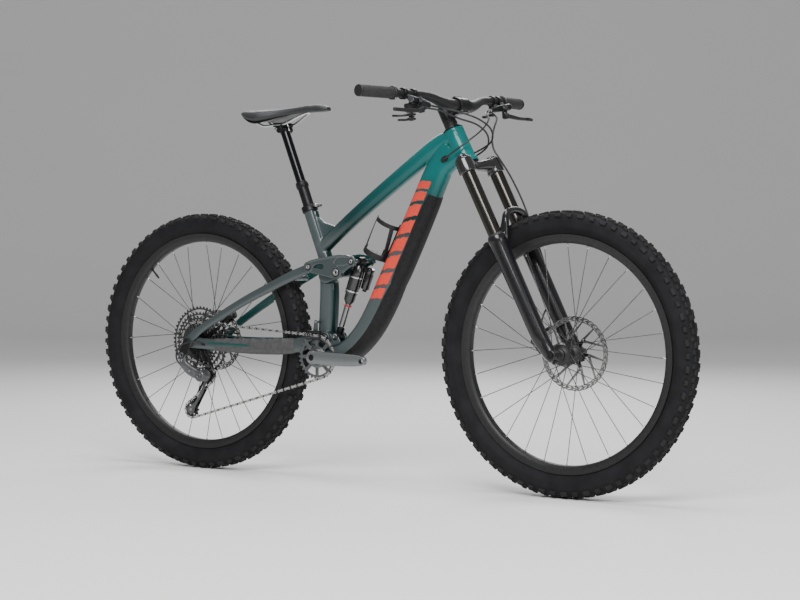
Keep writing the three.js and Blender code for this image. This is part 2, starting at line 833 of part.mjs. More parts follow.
// A point on the bar's axis at sideways distance y.
function barPoint(y) {
  const reach = Math.abs(y);
  const i = BAR_HALF.findIndex(([, across]) => across >= reach);
  const [x1, y1, z1] = BAR_HALF[i];
  const [x0, y0, z0] = BAR_HALF[Math.max(i - 1, 0)];
  const t = y1 > y0 ? (reach - y0) / (y1 - y0) : 0;
  return V(BAR_CENTRE.x + x0 + (x1 - x0) * t, y, BAR_CENTRE.z + z0 + (z1 - z0) * t);
}

const GRIP_INNER = 272;
const GRIP_END = 407;
function grip(side) {
  const inner = barPoint(side * GRIP_INNER);
  const outer = barPoint(side * 403);
  const along = outer.clone().sub(inner).normalize();
  const end = inner.clone().addScaledVector(along, GRIP_END - GRIP_INNER);
  const collar = inner.clone().addScaledVector(along, 9);
  const room = outer.clone().addScaledVector(along, GAP + 3);
  const start = inner.clone().addScaledVector(along, -5);
  return cut(
    join(rod(inner, end, GRIP_R), rod(inner, collar, 18.5)),
    rod(start, room, GRIP_BAR_R + 0.8, GRIP_BAR_R + 0.8, 12),
  );
}
piece("grip_right", grip(-1), RUBBER);
piece("grip_left", grip(1), RUBBER);

// A clamp band round the bar at y, with room for the bar.
function band(y, width, r) {
  const a = barPoint(y - width / 2);
  const b = barPoint(y + width / 2);
  const before = a.clone().add(a.clone().sub(b).setLength(12));
  const after = b.clone().add(b.clone().sub(a).setLength(12));
  return {
    ring: rod(a, b, r, r, 12),
    room: rod(before, after, GRIP_BAR_R + 0.8, GRIP_BAR_R + 0.8, 12),
  };
}

// Brake master cylinder: the clamp, and a body that lies in front of and below the bar.
const LEVER_PIVOT = V(46, 214, -30); // from the bar's centre height at the clamp
const CLAMP_Y = 236;
const leverPivot = (side) => {
  const base = barPoint(side * CLAMP_Y);
  return V(base.x + LEVER_PIVOT.x, side * LEVER_PIVOT.y, base.z + LEVER_PIVOT.z);
};
function brakeBody(side) {
  const { ring, room } = band(side * CLAMP_Y, 12, 16);
  const base = barPoint(side * CLAMP_Y);
  const pivot = leverPivot(side);
  const neck = rod(
    base.clone().add(V(13, 0, -6)),
    V(pivot.x - 14, side * 232, pivot.z + 13),
    7,
    8,
    8,
  );
  const barrel = rod(
    V(pivot.x - 12, side * 250, pivot.z + 15),
    V(pivot.x - 16, side * 158, pivot.z + 2),
    10,
    8,
    12,
  );
  const yoke = rod(
    V(pivot.x, pivot.y, pivot.z + 4),
    V(pivot.x - 12, pivot.y, pivot.z + 16),
    9,
    9,
    10,
  );
  const bladeRoom = rod(
    V(pivot.x + 40, pivot.y, pivot.z - 22),
    V(pivot.x + 0.5, pivot.y, pivot.z + 0.8),
    60,
    60,
    8,
  );
  return cut(join(ring, neck, barrel, cut(yoke, bladeRoom)), room);
}
piece("brake_body_right", brakeBody(-1), BLACK_METAL);
piece("brake_body_left", brakeBody(1), BLACK_METAL);

// Brake lever blade, reaching out in front of the grip and ending in a hook.
function brakeLever(side) {
  const pivot = leverPivot(side);
  const points = [
    [-2, -6, -5, 7, 6],
    [4, 14, -8, 5, 6],
    [12, 45, -12, 4, 5],
    [6, 80, -12, 3.5, 5],
    [-4, 112, -11, 3.5, 5],
    [-2, 128, -11, 3.5, 5],
    [6, 136, -13, 3, 4],
  ].map(([x, y, z, a, b]) => ({
    p: V(pivot.x + x, pivot.y + side * y, pivot.z + z - 5),
    a,
    b,
  }));
  return loft(
    points.map(({ p, a, b }, i) => {
      const before = points[Math.max(i - 1, 0)].p;
      const after = points[Math.min(i + 1, points.length - 1)].p;
      const along = after.clone().sub(before).normalize();
      const up = V(0, 0, 1).addScaledVector(along, -along.z).normalize();
      const out = along.clone().cross(up);
      return Array.from({ length: 8 }, (_, k) => {
        const angle = ((k + 0.5) / 8) * 2 * Math.PI;
        return p
          .clone()
          .addScaledVector(out, a * Math.cos(angle))
          .addScaledVector(up, b * Math.sin(angle));
      });
    }),
  );
}
piece("brake_lever_right", brakeLever(-1), BLACK_METAL);
piece("brake_lever_left", brakeLever(1), BLACK_METAL);

// Trigger shifter under the right side of the bar, and its two thumb levers.
const SHIFTER = barPoint(-198);
function shifterBody() {
  const { ring, room } = band(-198, 11, 15.5);
  const from = (x, y, z) => SHIFTER.clone().add(V(x, y, z));
  const neck = rod(from(-2, 0, -13), from(-4, 0, -24), 7, 7, 8);
  const body = rod(from(-4, 0, -23), from(-3, 0, -48), 21, 18, 12);
  const snout = rod(from(4, 10, -32), from(14, 44, -34), 7, 5, 8);
  const post = rod(from(-3, 0, -47), from(-3, 0, -70), 3.2, 3.2, 10);
  const spacer = rod(from(-3, 0, -56.6), from(-3, 0, -60.5), 8, 8, 12);
  const head = rod(from(-3, 0, -67.7), from(-3, 0, -70), 6, 6, 12);
  return cut(join(ring, neck, body, snout, post, spacer, head), room);
}
piece("shifter_body", shifterBody(), BLACK_PLASTIC);

function thumbLever(height, reach, swing) {
  const hub = SHIFTER.clone().add(V(-3, 0, height));
  const tip = hub.clone().add(V(-reach * Math.cos(swing), -reach * Math.sin(swing), -4));
  const arm = rod(hub, tip, 3, 3, 6);
  const boss = rod(hub.clone().add(V(0, 0, -3)), hub.clone().add(V(0, 0, 3)), 12, 12, 12);
  const pad = rod(tip.clone().add(V(0, 0, -3)), tip.clone().add(V(0, 0, 3)), 9, 9, 10);
  const bore = rod(hub.clone().add(V(0, 0, -9)), hub.clone().add(V(0, 0, 9)), 3.5, 3.5, 10);
  return cut(join(arm, boss, pad), bore);
}
piece("shift_lever", thumbLever(-52.5, 44, 0.75), BLACK_PLASTIC);
piece("release_lever", thumbLever(-64.2, 36, 1.25), BLACK_PLASTIC);

// Dropper remote under the left side of the bar.
const REMOTE = barPoint(202);
function remoteBody() {
  const { ring, room } = band(202, 11, 15.5);
  const from = (x, y, z) => REMOTE.clone().add(V(x, y, z));
  const neck = rod(from(0, 0, -13), from(0, 0, -34), 8, 8, 10);
  const nozzle = rod(from(2, 2, -28), from(10, -26, -24), 5.5, 4, 8);
  return cut(join(ring, neck, nozzle), room);
}
piece("dropper_remote_body", remoteBody(), BLACK_METAL);

function dropperLever() {
  const hub = REMOTE.clone().add(V(0, 0, -39));
  const tip = hub.clone().add(V(-34, 26, -3));
  return join(
    rod(hub.clone().add(V(0, 0, -4)), hub.clone().add(V(0, 0, 4)), 9, 9, 12),
    rod(hub, tip, 5, 6, 6),
    rod(tip.clone().add(V(0, 0, -4)), tip.clone().add(V(0, 0, 4)), 11, 11, 12),
  );
}
piece("dropper_lever", dropperLever(), BLACK_METAL);

// ---------------------------------------------------------------- wheels

function tyre(axle, r, width) {
  const w = width / 2;
  const seat = 14;
  const outside = [
    [310.5, seat],
    [318.5, seat],
    [332, w * 0.84],
    [r - 24, w],
    [r - 8, w * 0.86],
    [r, w * 0.35],
  ];
  const inside = [
    [310.5, 10],
    [319, 10],
    [334, w * 0.84 - 4.5],
    [r - 24, w - 6],
    [r - 9, 0],
  ];
  const flip = (points) => points.map(([a, b]) => [a, -b]);
  const profile = [
    ...outside,
    ...flip(outside).reverse(),
    ...flip(inside.slice(0, -1)),
    ...inside.slice().reverse(),
    outside[0],
  ];
  return turned(profile, axle, RIM_SEGMENTS);
}

function rim(axle) {
  const w = RIM_W / 2;
  const half = [
    [RIM_INNER_R, 10],
    [RIM_FLANGE_R, w],
    [RIM_FLANGE_R, w - 3],
    [309, w - 3.2],
  ];
  const flip = half.map(([a, b]) => [a, -b]).reverse();
  return turned([...half, ...flip, half[0]], axle, RIM_SEGMENTS);
}

// Crossed spokes: those of one flange lean alternately forward and back, side by side.
function spokes(axle, flangeR, leftY, rightY) {
  const rods = [];
  for (let i = 0; i < SPOKES; i++) {
    const y = i % 2 ? leftY : rightY;
    const lean = i % 4 < 2 ? 1 : -1;
    const rimAngle = (i / SPOKES) * 2 * Math.PI;
    const hubAngle = rimAngle + lean * 1.25;
    const tip = RIM_INNER_R - 0.9;
    const side = y > 0 ? 3.5 : -3.5;
    const from = V(
      axle.x + flangeR * Math.cos(hubAngle),
      y + lean * 1.3,
      axle.z + flangeR * Math.sin(hubAngle),
    );
    const to = V(axle.x + tip * Math.cos(rimAngle), side, axle.z + tip * Math.sin(rimAngle));
    rods.push(rod(from, to, 1.2, 1.2, 3));
  }
  return join(...rods);
}

function frontHub() {
  const bore = FRONT_AXLE_R + GAP;
  const profile = [
    [bore, -54.7],
    [10.5, -54.7],
    [11.5, -38],
    [28, -32.5],
    [28, -26.5],
    [15.5, -21],
    [15.5, 14],
    [28, 20],
    [28, 26],
    [21, 32],
    [21, 43],
    [11, 43.5],
    [10.5, 54.7],
    [bore, 54.7],
    [bore, -54.7],
  ];
  const hub = turned(profile, FRONT_AXLE, 12);
  return join(hub, spokes(FRONT_AXLE, 24.5, 23, -29.5));
}

function rearHub() {
  const bore = REAR_AXLE_R + GAP;
  const profile = [
    [bore, -20.2],
    [29, -20.2],
    [29, -13.5],
    [18, -8],
    [17, 20],
    [28, 31],
    [28, 38],
    [21, 44],
    [21, 53.5],
    [12, 54],
    [10.5, 73.7],
    [bore, 73.7],
    [bore, -20.2],
  ];
  const hub = turned(profile, REAR_AXLE, 12);
  return join(hub, spokes(REAR_AXLE, 26, 34.5, -16.8));
}

// Disc rotor: a braking ring on curved arms round a centre ring.
function rotor(axle, y, r, arms) {
  const half = 0.95;
  const ring = (outer, inner) => {
    const shape = new THREE.Shape();
    shape.absarc(axle.x, axle.z, outer, 0, 2 * Math.PI, false);
    return plate(withHoles(shape, [axle, inner]), y - half, y + half, 12);
  };
  const spider = Array.from({ length: arms }, (_, i) => {
    const a = (i / arms) * 2 * Math.PI;
    const b = a + 0.62;
    const from = V(axle.x + 22 * Math.cos(a), 0, axle.z + 22 * Math.sin(a));
    const to = V(axle.x + (r - 12) * Math.cos(b), 0, axle.z + (r - 12) * Math.sin(b));
    return plate(linkShape(from, 4.5, to, 3.5), y - half, y + half, 1);
  });
  return join(ring(r, r - 15), ring(27, 18), ...spider);
}

piece("front_tyre", tyre(FRONT_AXLE, FRONT_TYRE_R, FRONT_TYRE_W), RUBBER);
piece("front_rim", rim(FRONT_AXLE), BLACK_METAL);
piece("front_hub", frontHub(), BLACK_METAL);
piece("front_rotor", rotor(FRONT_AXLE, FRONT_ROTOR_Y, 100, 6), STEEL);
piece("rear_tyre", tyre(REAR_AXLE, REAR_TYRE_R, REAR_TYRE_W), RUBBER);
piece("rear_rim", rim(REAR_AXLE), BLACK_METAL);
piece("rear_hub", rearHub(), BLACK_METAL);
piece("rear_rotor", rotor(REAR_AXLE, REAR_ROTOR_Y, 90, 6), STEEL);

// ---------------------------------------------------------------- swingarm and seatstays

const DROPOUT_Y = [REAR_HUB_HALF + GAP, 79.8];
const STAY_DROPOUT_Y = [80.3, 86];

// The right chainstay's sections, from the axle to the main pivot.
const CHAINSTAY = [
  [-622, -77, 375, 15, 2.6],
  [-596, -77, 375, 17, 2.7],
  [-560, -74.5, 373, 16, 6],
  [-515, -70.5, 371, 17, 7.5],
  [-450, -65, 370, 19, 7.5],
  [-380, -59, 370, 21, 7.5],
  [-300, -49.5, 372, 22, 7],
  [-250, -43.3, 376, 21, 6],
  [-222, -40.3, 383, 20, 5.5],
  [-190, -37.5, 393, 16, 5.5],
  [-148, -35, 402, 14, 6],
];
function chainstay() {
  const arm = (side) =>
    ovalTube(side < 0 ? CHAINSTAY : mirroredSections(CHAINSTAY), 8, 0.8);
  const lug = (y0, y1) => pin(MAIN_PIVOT, y0, y1, 16, 12);
  const yoke = box(-230, -203, -42, 42, 378, 406);
  const body = join(arm(-1), arm(1), lug(-41, -28), lug(28, 41), yoke);
  return cut(
    body,
    pin(MAIN_PIVOT, -60, 60, PIVOT_R + GAP),
    pin(REAR_AXLE, -100, 100, REAR_AXLE_R + GAP),
    pin(REAR_AXLE, -DROPOUT_Y[0], DROPOUT_Y[0], 30, 12),
  );
}
piece("chainstay", chainstay(), GREEN_GREY);

function rearAxle() {
  const shaft = pin(REAR_AXLE, -94, 88, REAR_AXLE_R);
  const head = pin(REAR_AXLE, 86.6, 90, 10);
  return join(shaft, head);
}
piece("rear_axle", rearAxle(), BLACK_METAL);

// The right seatstay's sections, from the axle to the rocker.
const SEATSTAY = [
  [-611, -83.2, 376, 12, 2.6],
  [-592, -83, 394, 14, 2.7],
  [-560, -79, 418, 12, 6],
  [-510, -73, 448, 12, 7.5],
  [-416, -62, 500, 13, 8],
  [-330, -50, 542, 14, 8],
  [-268, -42, 571, 15, 8],
  [-225, -33.5, 590, 14, 5.7],
  [-198, -33, 601, 12, 5.7],
];
const STAY_BRIDGE = V(STAY_PIVOT.x - 68, 0, STAY_PIVOT.z - 34);
function seatstay() {
  const arm = (side) =>
    ovalTube(side < 0 ? SEATSTAY : mirroredSections(SEATSTAY), 8, 0.85);
  const bridge = pin(STAY_BRIDGE, -42, 42, 7.5, 10);
  const eyes = [-1, 1].map((side) => {
    const [inner, outer] = STAY_DROPOUT_Y.map((y) => side * y);
    return pin(REAR_AXLE, Math.min(inner, outer), Math.max(inner, outer), 15, 12);
  });
  const tips = [-39, 27.5].map((y) => pin(STAY_PIVOT, y, y + 11.5, 13, 12));
  const body = join(arm(-1), arm(1), bridge, ...eyes, ...tips);
  return cut(
    body,
    pin(REAR_AXLE, -STAY_DROPOUT_Y[0], STAY_DROPOUT_Y[0], 26, 12),
    pin(REAR_AXLE, -100, 100, REAR_AXLE_R + GAP),
    pin(STAY_PIVOT, -60, 60, PIVOT_R + GAP),
  );
}
piece("seatstay", seatstay(), GREEN_GREY);

function rearCaliper() {
  const angle = THREE.MathUtils.degToRad(62);
  const middle = V(
    REAR_AXLE.x + 82 * Math.cos(angle),
    0,
    REAR_AXLE.z + 82 * Math.sin(angle),
  );
  const body = caliper(middle, REAR_ROTOR_Y, THREE.MathUtils.degToRad(90) - angle);
  const stay = ovalTube(mirroredSections(SEATSTAY).map(widened), 8, 0.85);
  return cut(body, stay);
}
const widened = ([x, y, z, half, width]) => [x, y, z, half + 0.5, width + 0.5];
piece("rear_caliper", rearCaliper(), BLACK_METAL);

// ---------------------------------------------------------------- rocker and shock

// The rocker's arched top between its end pivots, as the side view shows it.
const ROCKER_ARCH = [
  [-208, 602],
  [-203, 613],
  [-183, 621],
  [-151, 628],
  [-116, 633],
  [-88, 637],
  [-68, 637],
  [-48, 632],
  [-35, 612],
  [-85, 584],
  [-102, 587],
];
function rocker() {
  const sides = [-1, 1].map((side) => {
    const y0 = side < 0 ? -50 : 40;
    const rear = linkShape(STAY_PIVOT, 15, ROCKER_PIVOT, 19);
    const front = linkShape(ROCKER_PIVOT, 19, SHOCK_TOP, 16);
    const cheek = (shape) => plate(shape, y0, y0 + 10, 3);
    const inward = (p, r, to) =>
      side < 0 ? pin(p, -41, -to, r, 12) : pin(p, to, 41, r, 12);
    return join(
      cheek(rear),
      cheek(front),
      cheek(new THREE.Shape(ROCKER_ARCH.map(([x, z]) => new THREE.Vector2(x, z)))),
      inward(ROCKER_PIVOT, 13, 32.4),
      inward(SHOCK_TOP, 6, 13),
    );
  });
  const bridge = pin(V(-76, 0, 616), -41, 41, 6, 10);
  const body = join(...sides, bridge);
  return cut(body, pin(ROCKER_PIVOT, -60, 60, PIVOT_R + GAP));
}
piece("rocker", rocker(), GREEN_GREY);

// Shock frame: local Z runs from the upper eye down to the foot, local X ahead of it.
const shock = new THREE.Group();
const SHOCK_DOWN = SHOCK_FOOT.clone().sub(SHOCK_TOP).normalize();
const SHOCK_LENGTH = SHOCK_TOP.distanceTo(SHOCK_FOOT);
shock.quaternion.setFromRotationMatrix(
  new THREE.Matrix4().makeBasis(
    V(-SHOCK_DOWN.z, 0, SHOCK_DOWN.x),
    V(0, -1, 0),
    SHOCK_DOWN,
  ),
);
shock.position.copy(SHOCK_TOP);
bike.add(shock);

const CAN_END = 120;
function shockBody() {
  const eye = rod(V(0, -12.5, 0), V(0, 12.5, 0), 12);
  const neck = rod(V(0, 0, 6), V(0, 0, 14), 9);
  const head = rod(V(0, 0, 11), V(0, 0, 27), 12.3, 19);
  const can = rod(V(0, 0, 25), V(0, 0, 96), 19, 19);
  const sleeveEnd = rod(V(0, 0, 95), V(0, 0, CAN_END), 17, 16);
  const reservoir = rod(V(25, -22, 14), V(25, -22, 76), 13, 13);
  const bridge = box(-2, 26, -24, 0, 14, 27);
  const ring = rod(V(0, 0, CAN_END - 1), V(0, 0, CAN_END + 4), 12.5, 12.5);
  const bore = rod(V(0, 0, 36), V(0, 0, CAN_END + 10), 9.4, 9.4);
  return cut(join(eye, neck, head, can, sleeveEnd, reservoir, bridge, ring), bore);
}
piece("shock_body", shockBody(), BLACK_METAL, shock);

function shockShaft() {
  const shaft = rod(V(0, 0, 98), V(0, 0, SHOCK_LENGTH - 12), 9, 9);
  const neck = rod(V(0, 0, SHOCK_LENGTH - 28), V(0, 0, SHOCK_LENGTH - 8), 11, 11);
  const eye = rod(V(0, -12.5, SHOCK_LENGTH), V(0, 12.5, SHOCK_LENGTH), 11.5);
  const bore = rod(V(0, -20, SHOCK_LENGTH), V(0, 20, SHOCK_LENGTH), 5 + GAP);
  return cut(join(shaft, neck, eye), bore);
}
piece("shock_shaft", shockShaft(), STEEL, shock);

// ---------------------------------------------------------------- drivetrain

const pitchRadius = (teeth) => CHAIN_PITCH / 2 / Math.sin(Math.PI / teeth);
const CHAIN_TURN = 0.42; // the most that one chain facet turns round a wheel
// The radius of a wheel under the chain's facets.
const rootRadius = (teeth) =>
  (pitchRadius(teeth) - CHAIN_HALF_H) * Math.cos(CHAIN_TURN / 2) - GAP;
const RING_R = pitchRadius(CHAINRING_TEETH);
const ringRoot = rootRadius(CHAINRING_TEETH);

function crankArm(side, ahead) {
  const y = (offset) => side * offset;
  const sections = [
    [BB.x - ahead * 17, y(72), BB.z, 12, 8],
    [BB.x - ahead * 8, y(72), BB.z, 18, 9.5],
    [BB.x + ahead * 12, y(72.5), BB.z, 19, 9],
    [BB.x + ahead * 60, y(76), BB.z - 2, 17, 7.5],
    [BB.x + ahead * 120, y(79.5), BB.z - 3, 15, 7],
    [BB.x + ahead * 160, y(81), BB.z - 3, 14, 7],
    [BB.x + ahead * (CRANK_LENGTH + 12), y(81), BB.z - 3, 9, 6],
  ];
  const arm = ovalTube(sections, 10, 0.75);
  const end = V(BB.x + ahead * CRANK_LENGTH, 0, BB.z - 3);
  const [e0, e1] = side < 0 ? [-88, -74.5] : [74.5, 88];
  const boss = pin(end, e0, e1, 13);
  const [b0, b1] = side < 0 ? [-80, -62] : [62, 80];
  const hub = pin(BB, b0, b1, 19);
  return cut(join(arm, boss, hub), pin(end, -100, 100, 7));
}

function crankRight() {
  return join(crankArm(-1, 1), pin(BB, -64, 61, SPINDLE_R, 20));
}
piece("crank_right", crankRight(), GREY_METAL);
piece("crank_left", cut(crankArm(1, -1), pin(BB, 0, 61.5, SPINDLE_R + 4)), GREY_METAL);

function chainring() {
  const y = CHAIN_FRONT_Y;
  const shape = new THREE.Shape();
  shape.absarc(BB.x, BB.z, ringRoot, 0, 2 * Math.PI, false);
  const ring = plate(withHoles(shape, [BB, ringRoot - 9]), y - 1.3, y + 1.3, 12);
  const arms = Array.from({ length: 8 }, (_, i) => {
    const a = (i / 8) * 2 * Math.PI;
    const end = V(
      BB.x + (ringRoot - 6) * Math.cos(a),
      0,
      BB.z + (ringRoot - 6) * Math.sin(a),
    );
    return plate(linkShape(BB, 8, end, 3), y - 1.3, y + 1.3, 1);
  });
  const dish = pin(BB, -61.6, y + 1.3, 23, 20);
  return cut(join(ring, dish, ...arms), pin(BB, -80, 0, SPINDLE_R + GAP, 20));
}
piece("chainring", chainring(), GREY_METAL);

function cassette() {
  const profile = [[REAR_AXLE_R + GAP, -73.7]];
  profile.push([11, -73.7], [11, -68], [15, -67]);
  COG_TEETH.forEach((teeth, i) => {
    const y = COG_FIRST_Y + i * COG_STEP;
    const r = rootRadius(teeth);
    profile.push([r, y - 0.8]);
    if (i < COG_TEETH.length - 1) profile.push([r, y + COG_STEP - 0.8]);
    else profile.push([r, y + 0.8]);
  });
  profile.push([30, -22], [27, -20.6], [REAR_AXLE_R + GAP, -20.6]);
  profile.push([REAR_AXLE_R + GAP, -73.7]);
  return turned(profile, REAR_AXLE, 14);
}
piece("cassette", cassette(), STEEL);

const JOCKEY_R = rootRadius(JOCKEY_TEETH);
function jockey(p) {
  const profile = [
    [3.4, CHAIN_REAR_Y - 1.8],
    [JOCKEY_R, CHAIN_REAR_Y - 1.8],
    [JOCKEY_R, CHAIN_REAR_Y + 1.8],
    [3.4, CHAIN_REAR_Y + 1.8],
    [3.4, CHAIN_REAR_Y - 1.8],
  ];
  return turned(profile, p, 12);
}
piece("jockey_upper", jockey(JOCKEY_UPPER), BLACK_PLASTIC);
piece("jockey_lower", jockey(JOCKEY_LOWER), BLACK_PLASTIC);

const CAGE_OUTER_Y = [CHAIN_REAR_Y - 7.6, CHAIN_REAR_Y - 5.6];
const CAGE_INNER_Y = [CHAIN_REAR_Y + 4.4, CHAIN_REAR_Y + 6];
function derailleurCage() {
  const shape = () => linkShape(JOCKEY_UPPER, 17, JOCKEY_LOWER, 16);
  const pins = [JOCKEY_UPPER, JOCKEY_LOWER].map((p) =>
    pin(p, CAGE_OUTER_Y[0] + 0.2, CAGE_INNER_Y[1] - 0.2, 3, 12),
  );
  return join(plate(shape(), ...CAGE_OUTER_Y), plate(shape(), ...CAGE_INNER_Y), ...pins);
}
piece("derailleur_cage", derailleurCage(), BLACK_METAL);

function derailleurBody() {
  const knuckle = pin(JOCKEY_UPPER, -84, CAGE_OUTER_Y[0] - GAP, 17, 20);
  const upperKnuckle = pin(HANGER, -92, -76, 14);
  const links = ovalTube(
    [
      [HANGER.x, -84, HANGER.z - 2, 11, 7],
      [-624, -84, 312, 13, 8],
      [-600, -79, 291, 15, 9],
      [JOCKEY_UPPER.x, -72, JOCKEY_UPPER.z, 14, 9],
    ],
    12,
    0.8,
  );
  const hanger = plate(linkShape(at(REAR_AXLE, 0), 12, HANGER, 12), -92, -86.6);
  return cut(
    join(knuckle, upperKnuckle, links, hanger),
    pin(REAR_AXLE, -100, 0, REAR_AXLE_R + GAP),
  );
}
piece("derailleur_body", derailleurBody(), BLACK_METAL);

// The chain's pitch line as a belt round four wheels. turn is 1 where the chain runs
// anticlockwise as seen from the drive side, with +X to the right, and -1 on the upper
// jockey wheel, which it passes the other way.
function chainPath() {
  const cogR = pitchRadius(COG_TEETH[CHAIN_COG]);
  const jockeyR = pitchRadius(JOCKEY_TEETH);
  const wheels = [
    { c: REAR_AXLE, r: cogR, y: CHAIN_REAR_Y, turn: 1 },
    { c: JOCKEY_UPPER, r: jockeyR, y: CHAIN_REAR_Y, turn: -1 },
    { c: JOCKEY_LOWER, r: jockeyR, y: CHAIN_REAR_Y, turn: 1 },
    { c: BB, r: RING_R, y: CHAIN_FRONT_Y, turn: 1 },
  ];
  // The straight run from wheel a to wheel b leaves and lands at right angles to radii.
  const tangent = (a, b) => {
    const dx = b.c.x - a.c.x;
    const dz = b.c.z - a.c.z;
    const distance = Math.hypot(dx, dz);
    const base = Math.atan2(dz, dx);
    const lift = Math.acos((a.turn * a.r - b.turn * b.r) / distance);
    const normal = base - lift;
    return [a.turn > 0 ? normal : normal + Math.PI, b.turn > 0 ? normal : normal + Math.PI];
  };
  const runs = wheels.map((wheel, i) => tangent(wheel, wheels[(i + 1) % 4]));
  const points = [];
  wheels.forEach((wheel, i) => {
    const [, arrive] = runs[(i + 3) % 4];
    const [leave] = runs[i];
    let sweep = (leave - arrive) * wheel.turn;
    sweep = ((sweep % (2 * Math.PI)) + 2 * Math.PI) % (2 * Math.PI);
    const steps = Math.ceil(sweep / CHAIN_TURN);
    for (let k = 0; k <= steps; k++) {
      const a = arrive + (wheel.turn * sweep * k) / steps;
      points.push({
        p: V(wheel.c.x + wheel.r * Math.cos(a), wheel.y, wheel.c.z + wheel.r * Math.sin(a)),
        out: V(Math.cos(a) * wheel.turn, 0, Math.sin(a) * wheel.turn),
      });
    }
  });
  return points;
}

// The chain is one closed band of its real width and height.
function chain() {
  const path = chainPath();
  const positions = [];
  const corners = [
    [-CHAIN_HALF_H, -CHAIN_HALF_W],
    [CHAIN_HALF_H, -CHAIN_HALF_W],
    [CHAIN_HALF_H, CHAIN_HALF_W],
    [-CHAIN_HALF_H, CHAIN_HALF_W],
  ];
  for (const { p, out } of path)
    for (const [h, w] of corners) {
      const corner = p.clone().addScaledVector(out, h);
      positions.push(corner.x, p.y + w, corner.z);
    }
  const index = [];
  const count = path.length;
  for (let i = 0; i < count; i++)
    for (let k = 0; k < 4; k++) {
      const a = i * 4 + k;
      const b = i * 4 + ((k + 1) % 4);
      const c = ((i + 1) % count) * 4 + k;
      const d = ((i + 1) % count) * 4 + ((k + 1) % 4);
      index.push(a, b, c, b, d, c);
    }
  const geometry = new THREE.BufferGeometry();
  geometry.setAttribute("position", new THREE.Float32BufferAttribute(positions, 3));
  geometry.setIndex(index);
  return solid(geometry);
}
piece("chain", chain(), STEEL);

// ---------------------------------------------------------------- hoses and cables

const HOSE_R = 2.5;
const masterEnd = (side) => {
  const pivot = leverPivot(side);
  return V(pivot.x - 16, side * 155, pivot.z + 2);
};
const rightEnd = masterEnd(-1);
const leftEnd = masterEnd(1);
const shifterEnd = SHIFTER.clone().add(V(14.3, 45, -34));
const remoteEnd = REMOTE.clone().add(V(10.3, -27.5, -24));

const REAR_HOSE = [
  rightEnd,
  V(rightEnd.x + 8, -120, rightEnd.z - 4),
  V(322, -70, 1022),
  V(352, -20, 1004),
  V(362, 25, 978),
  V(345, 55, 948),
  V(300, 58, 922),
  V(258, 42, 905),
  V(238, 30, 896),
];
const SHIFT_CABLE = [
  shifterEnd,
  V(shifterEnd.x + 22, -122, shifterEnd.z - 6),
  V(318, -70, 1006),
  V(345, -20, 990),
  V(352, 22, 964),
  V(336, 48, 934),
  V(294, 50, 906),
  V(250, 40, 886),
  V(228, 30, 876),
];
const DROPPER_CABLE = [
  remoteEnd,
  V(remoteEnd.x + 5, 150, remoteEnd.z - 10),
  V(remoteEnd.x + 22, 122, remoteEnd.z - 16),
  V(318, 85, 1012),
  V(334, 35, 986),
  V(330, -14, 958),
  V(306, -40, 932),
  V(280, -44, 914),
  V(260, -37, 904),
  V(247, -30.5, 899),
];
const FRONT_HOSE = [
  leftEnd,
  V(leftEnd.x + 16, 130, leftEnd.z - 5),
  V(334, 100, 1012),
  V(338, 78, 981),
  V(338, 70, 950),
  V(345, 68, 925),
  V(360, 69, 903),
  V(380, 80, 868),
  V(397, 94, 828),
  V(418, 102, 780),
  V(450, 104, 700),
  V(482, 103, 620),
  V(500, 100, 550),
  V(503, 88, 505),
  V(500, 70, 478),
  V(500, 60, 460),
];

// Each hose stops short of the frame, the fork or the caliper that it goes into.
const hose = (points, steps) => bentTube(points, HOSE_R, steps, 6);
piece("rear_brake_hose", hose(REAR_HOSE, 18), BLACK_PLASTIC);
piece("shift_cable", hose(SHIFT_CABLE, 18), BLACK_PLASTIC);
piece("dropper_cable", hose(DROPPER_CABLE, 18), BLACK_PLASTIC);
piece("front_brake_hose", hose(FRONT_HOSE, 30), BLACK_PLASTIC);

export default bike;
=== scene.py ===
import math

import bmesh
import bpy
from mathutils import Matrix, Vector


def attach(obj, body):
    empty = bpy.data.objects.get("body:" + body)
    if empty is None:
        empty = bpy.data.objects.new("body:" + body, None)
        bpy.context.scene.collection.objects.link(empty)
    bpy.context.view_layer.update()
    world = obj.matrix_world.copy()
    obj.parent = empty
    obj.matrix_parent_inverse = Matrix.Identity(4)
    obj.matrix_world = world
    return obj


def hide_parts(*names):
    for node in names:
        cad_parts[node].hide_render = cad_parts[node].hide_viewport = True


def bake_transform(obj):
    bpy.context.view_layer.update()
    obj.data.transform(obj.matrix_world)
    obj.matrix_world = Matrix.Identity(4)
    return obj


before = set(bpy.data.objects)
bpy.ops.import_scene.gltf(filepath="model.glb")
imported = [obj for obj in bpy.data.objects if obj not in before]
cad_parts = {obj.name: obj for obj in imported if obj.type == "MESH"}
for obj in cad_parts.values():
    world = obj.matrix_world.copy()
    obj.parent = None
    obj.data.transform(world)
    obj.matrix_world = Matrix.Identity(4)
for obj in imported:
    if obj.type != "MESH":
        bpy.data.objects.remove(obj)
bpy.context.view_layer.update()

# Lengths in this file are millimetres; +X rides forward, +Y is left, +Z is up.
MM = 0.001
TAU = 2 * math.pi
SIDES = (-1, 1)
# Points closer than this, in metres, are one point.
WELD = 1e-6
# Corners sharper than this stay sharp: in a melted casting, and in a piece that was cut.
CASTING_ANGLE = 80
CUT_ANGLE = 45


def V(x, y, z):
    return Vector((x, y, z))


ORIGIN = V(0, 0, 0)
X = V(1, 0, 0)
Y = V(0, 1, 0)
Z = V(0, 0, 1)


def side_tag(side):
    return "right" if side < 0 else "left"


def span(side, a, b):
    """Two distances from the bike's middle plane, on one side of it, as y from low to high."""
    return sorted((side * a, side * b))


# ------------------------------------------------------------------ driving dimensions

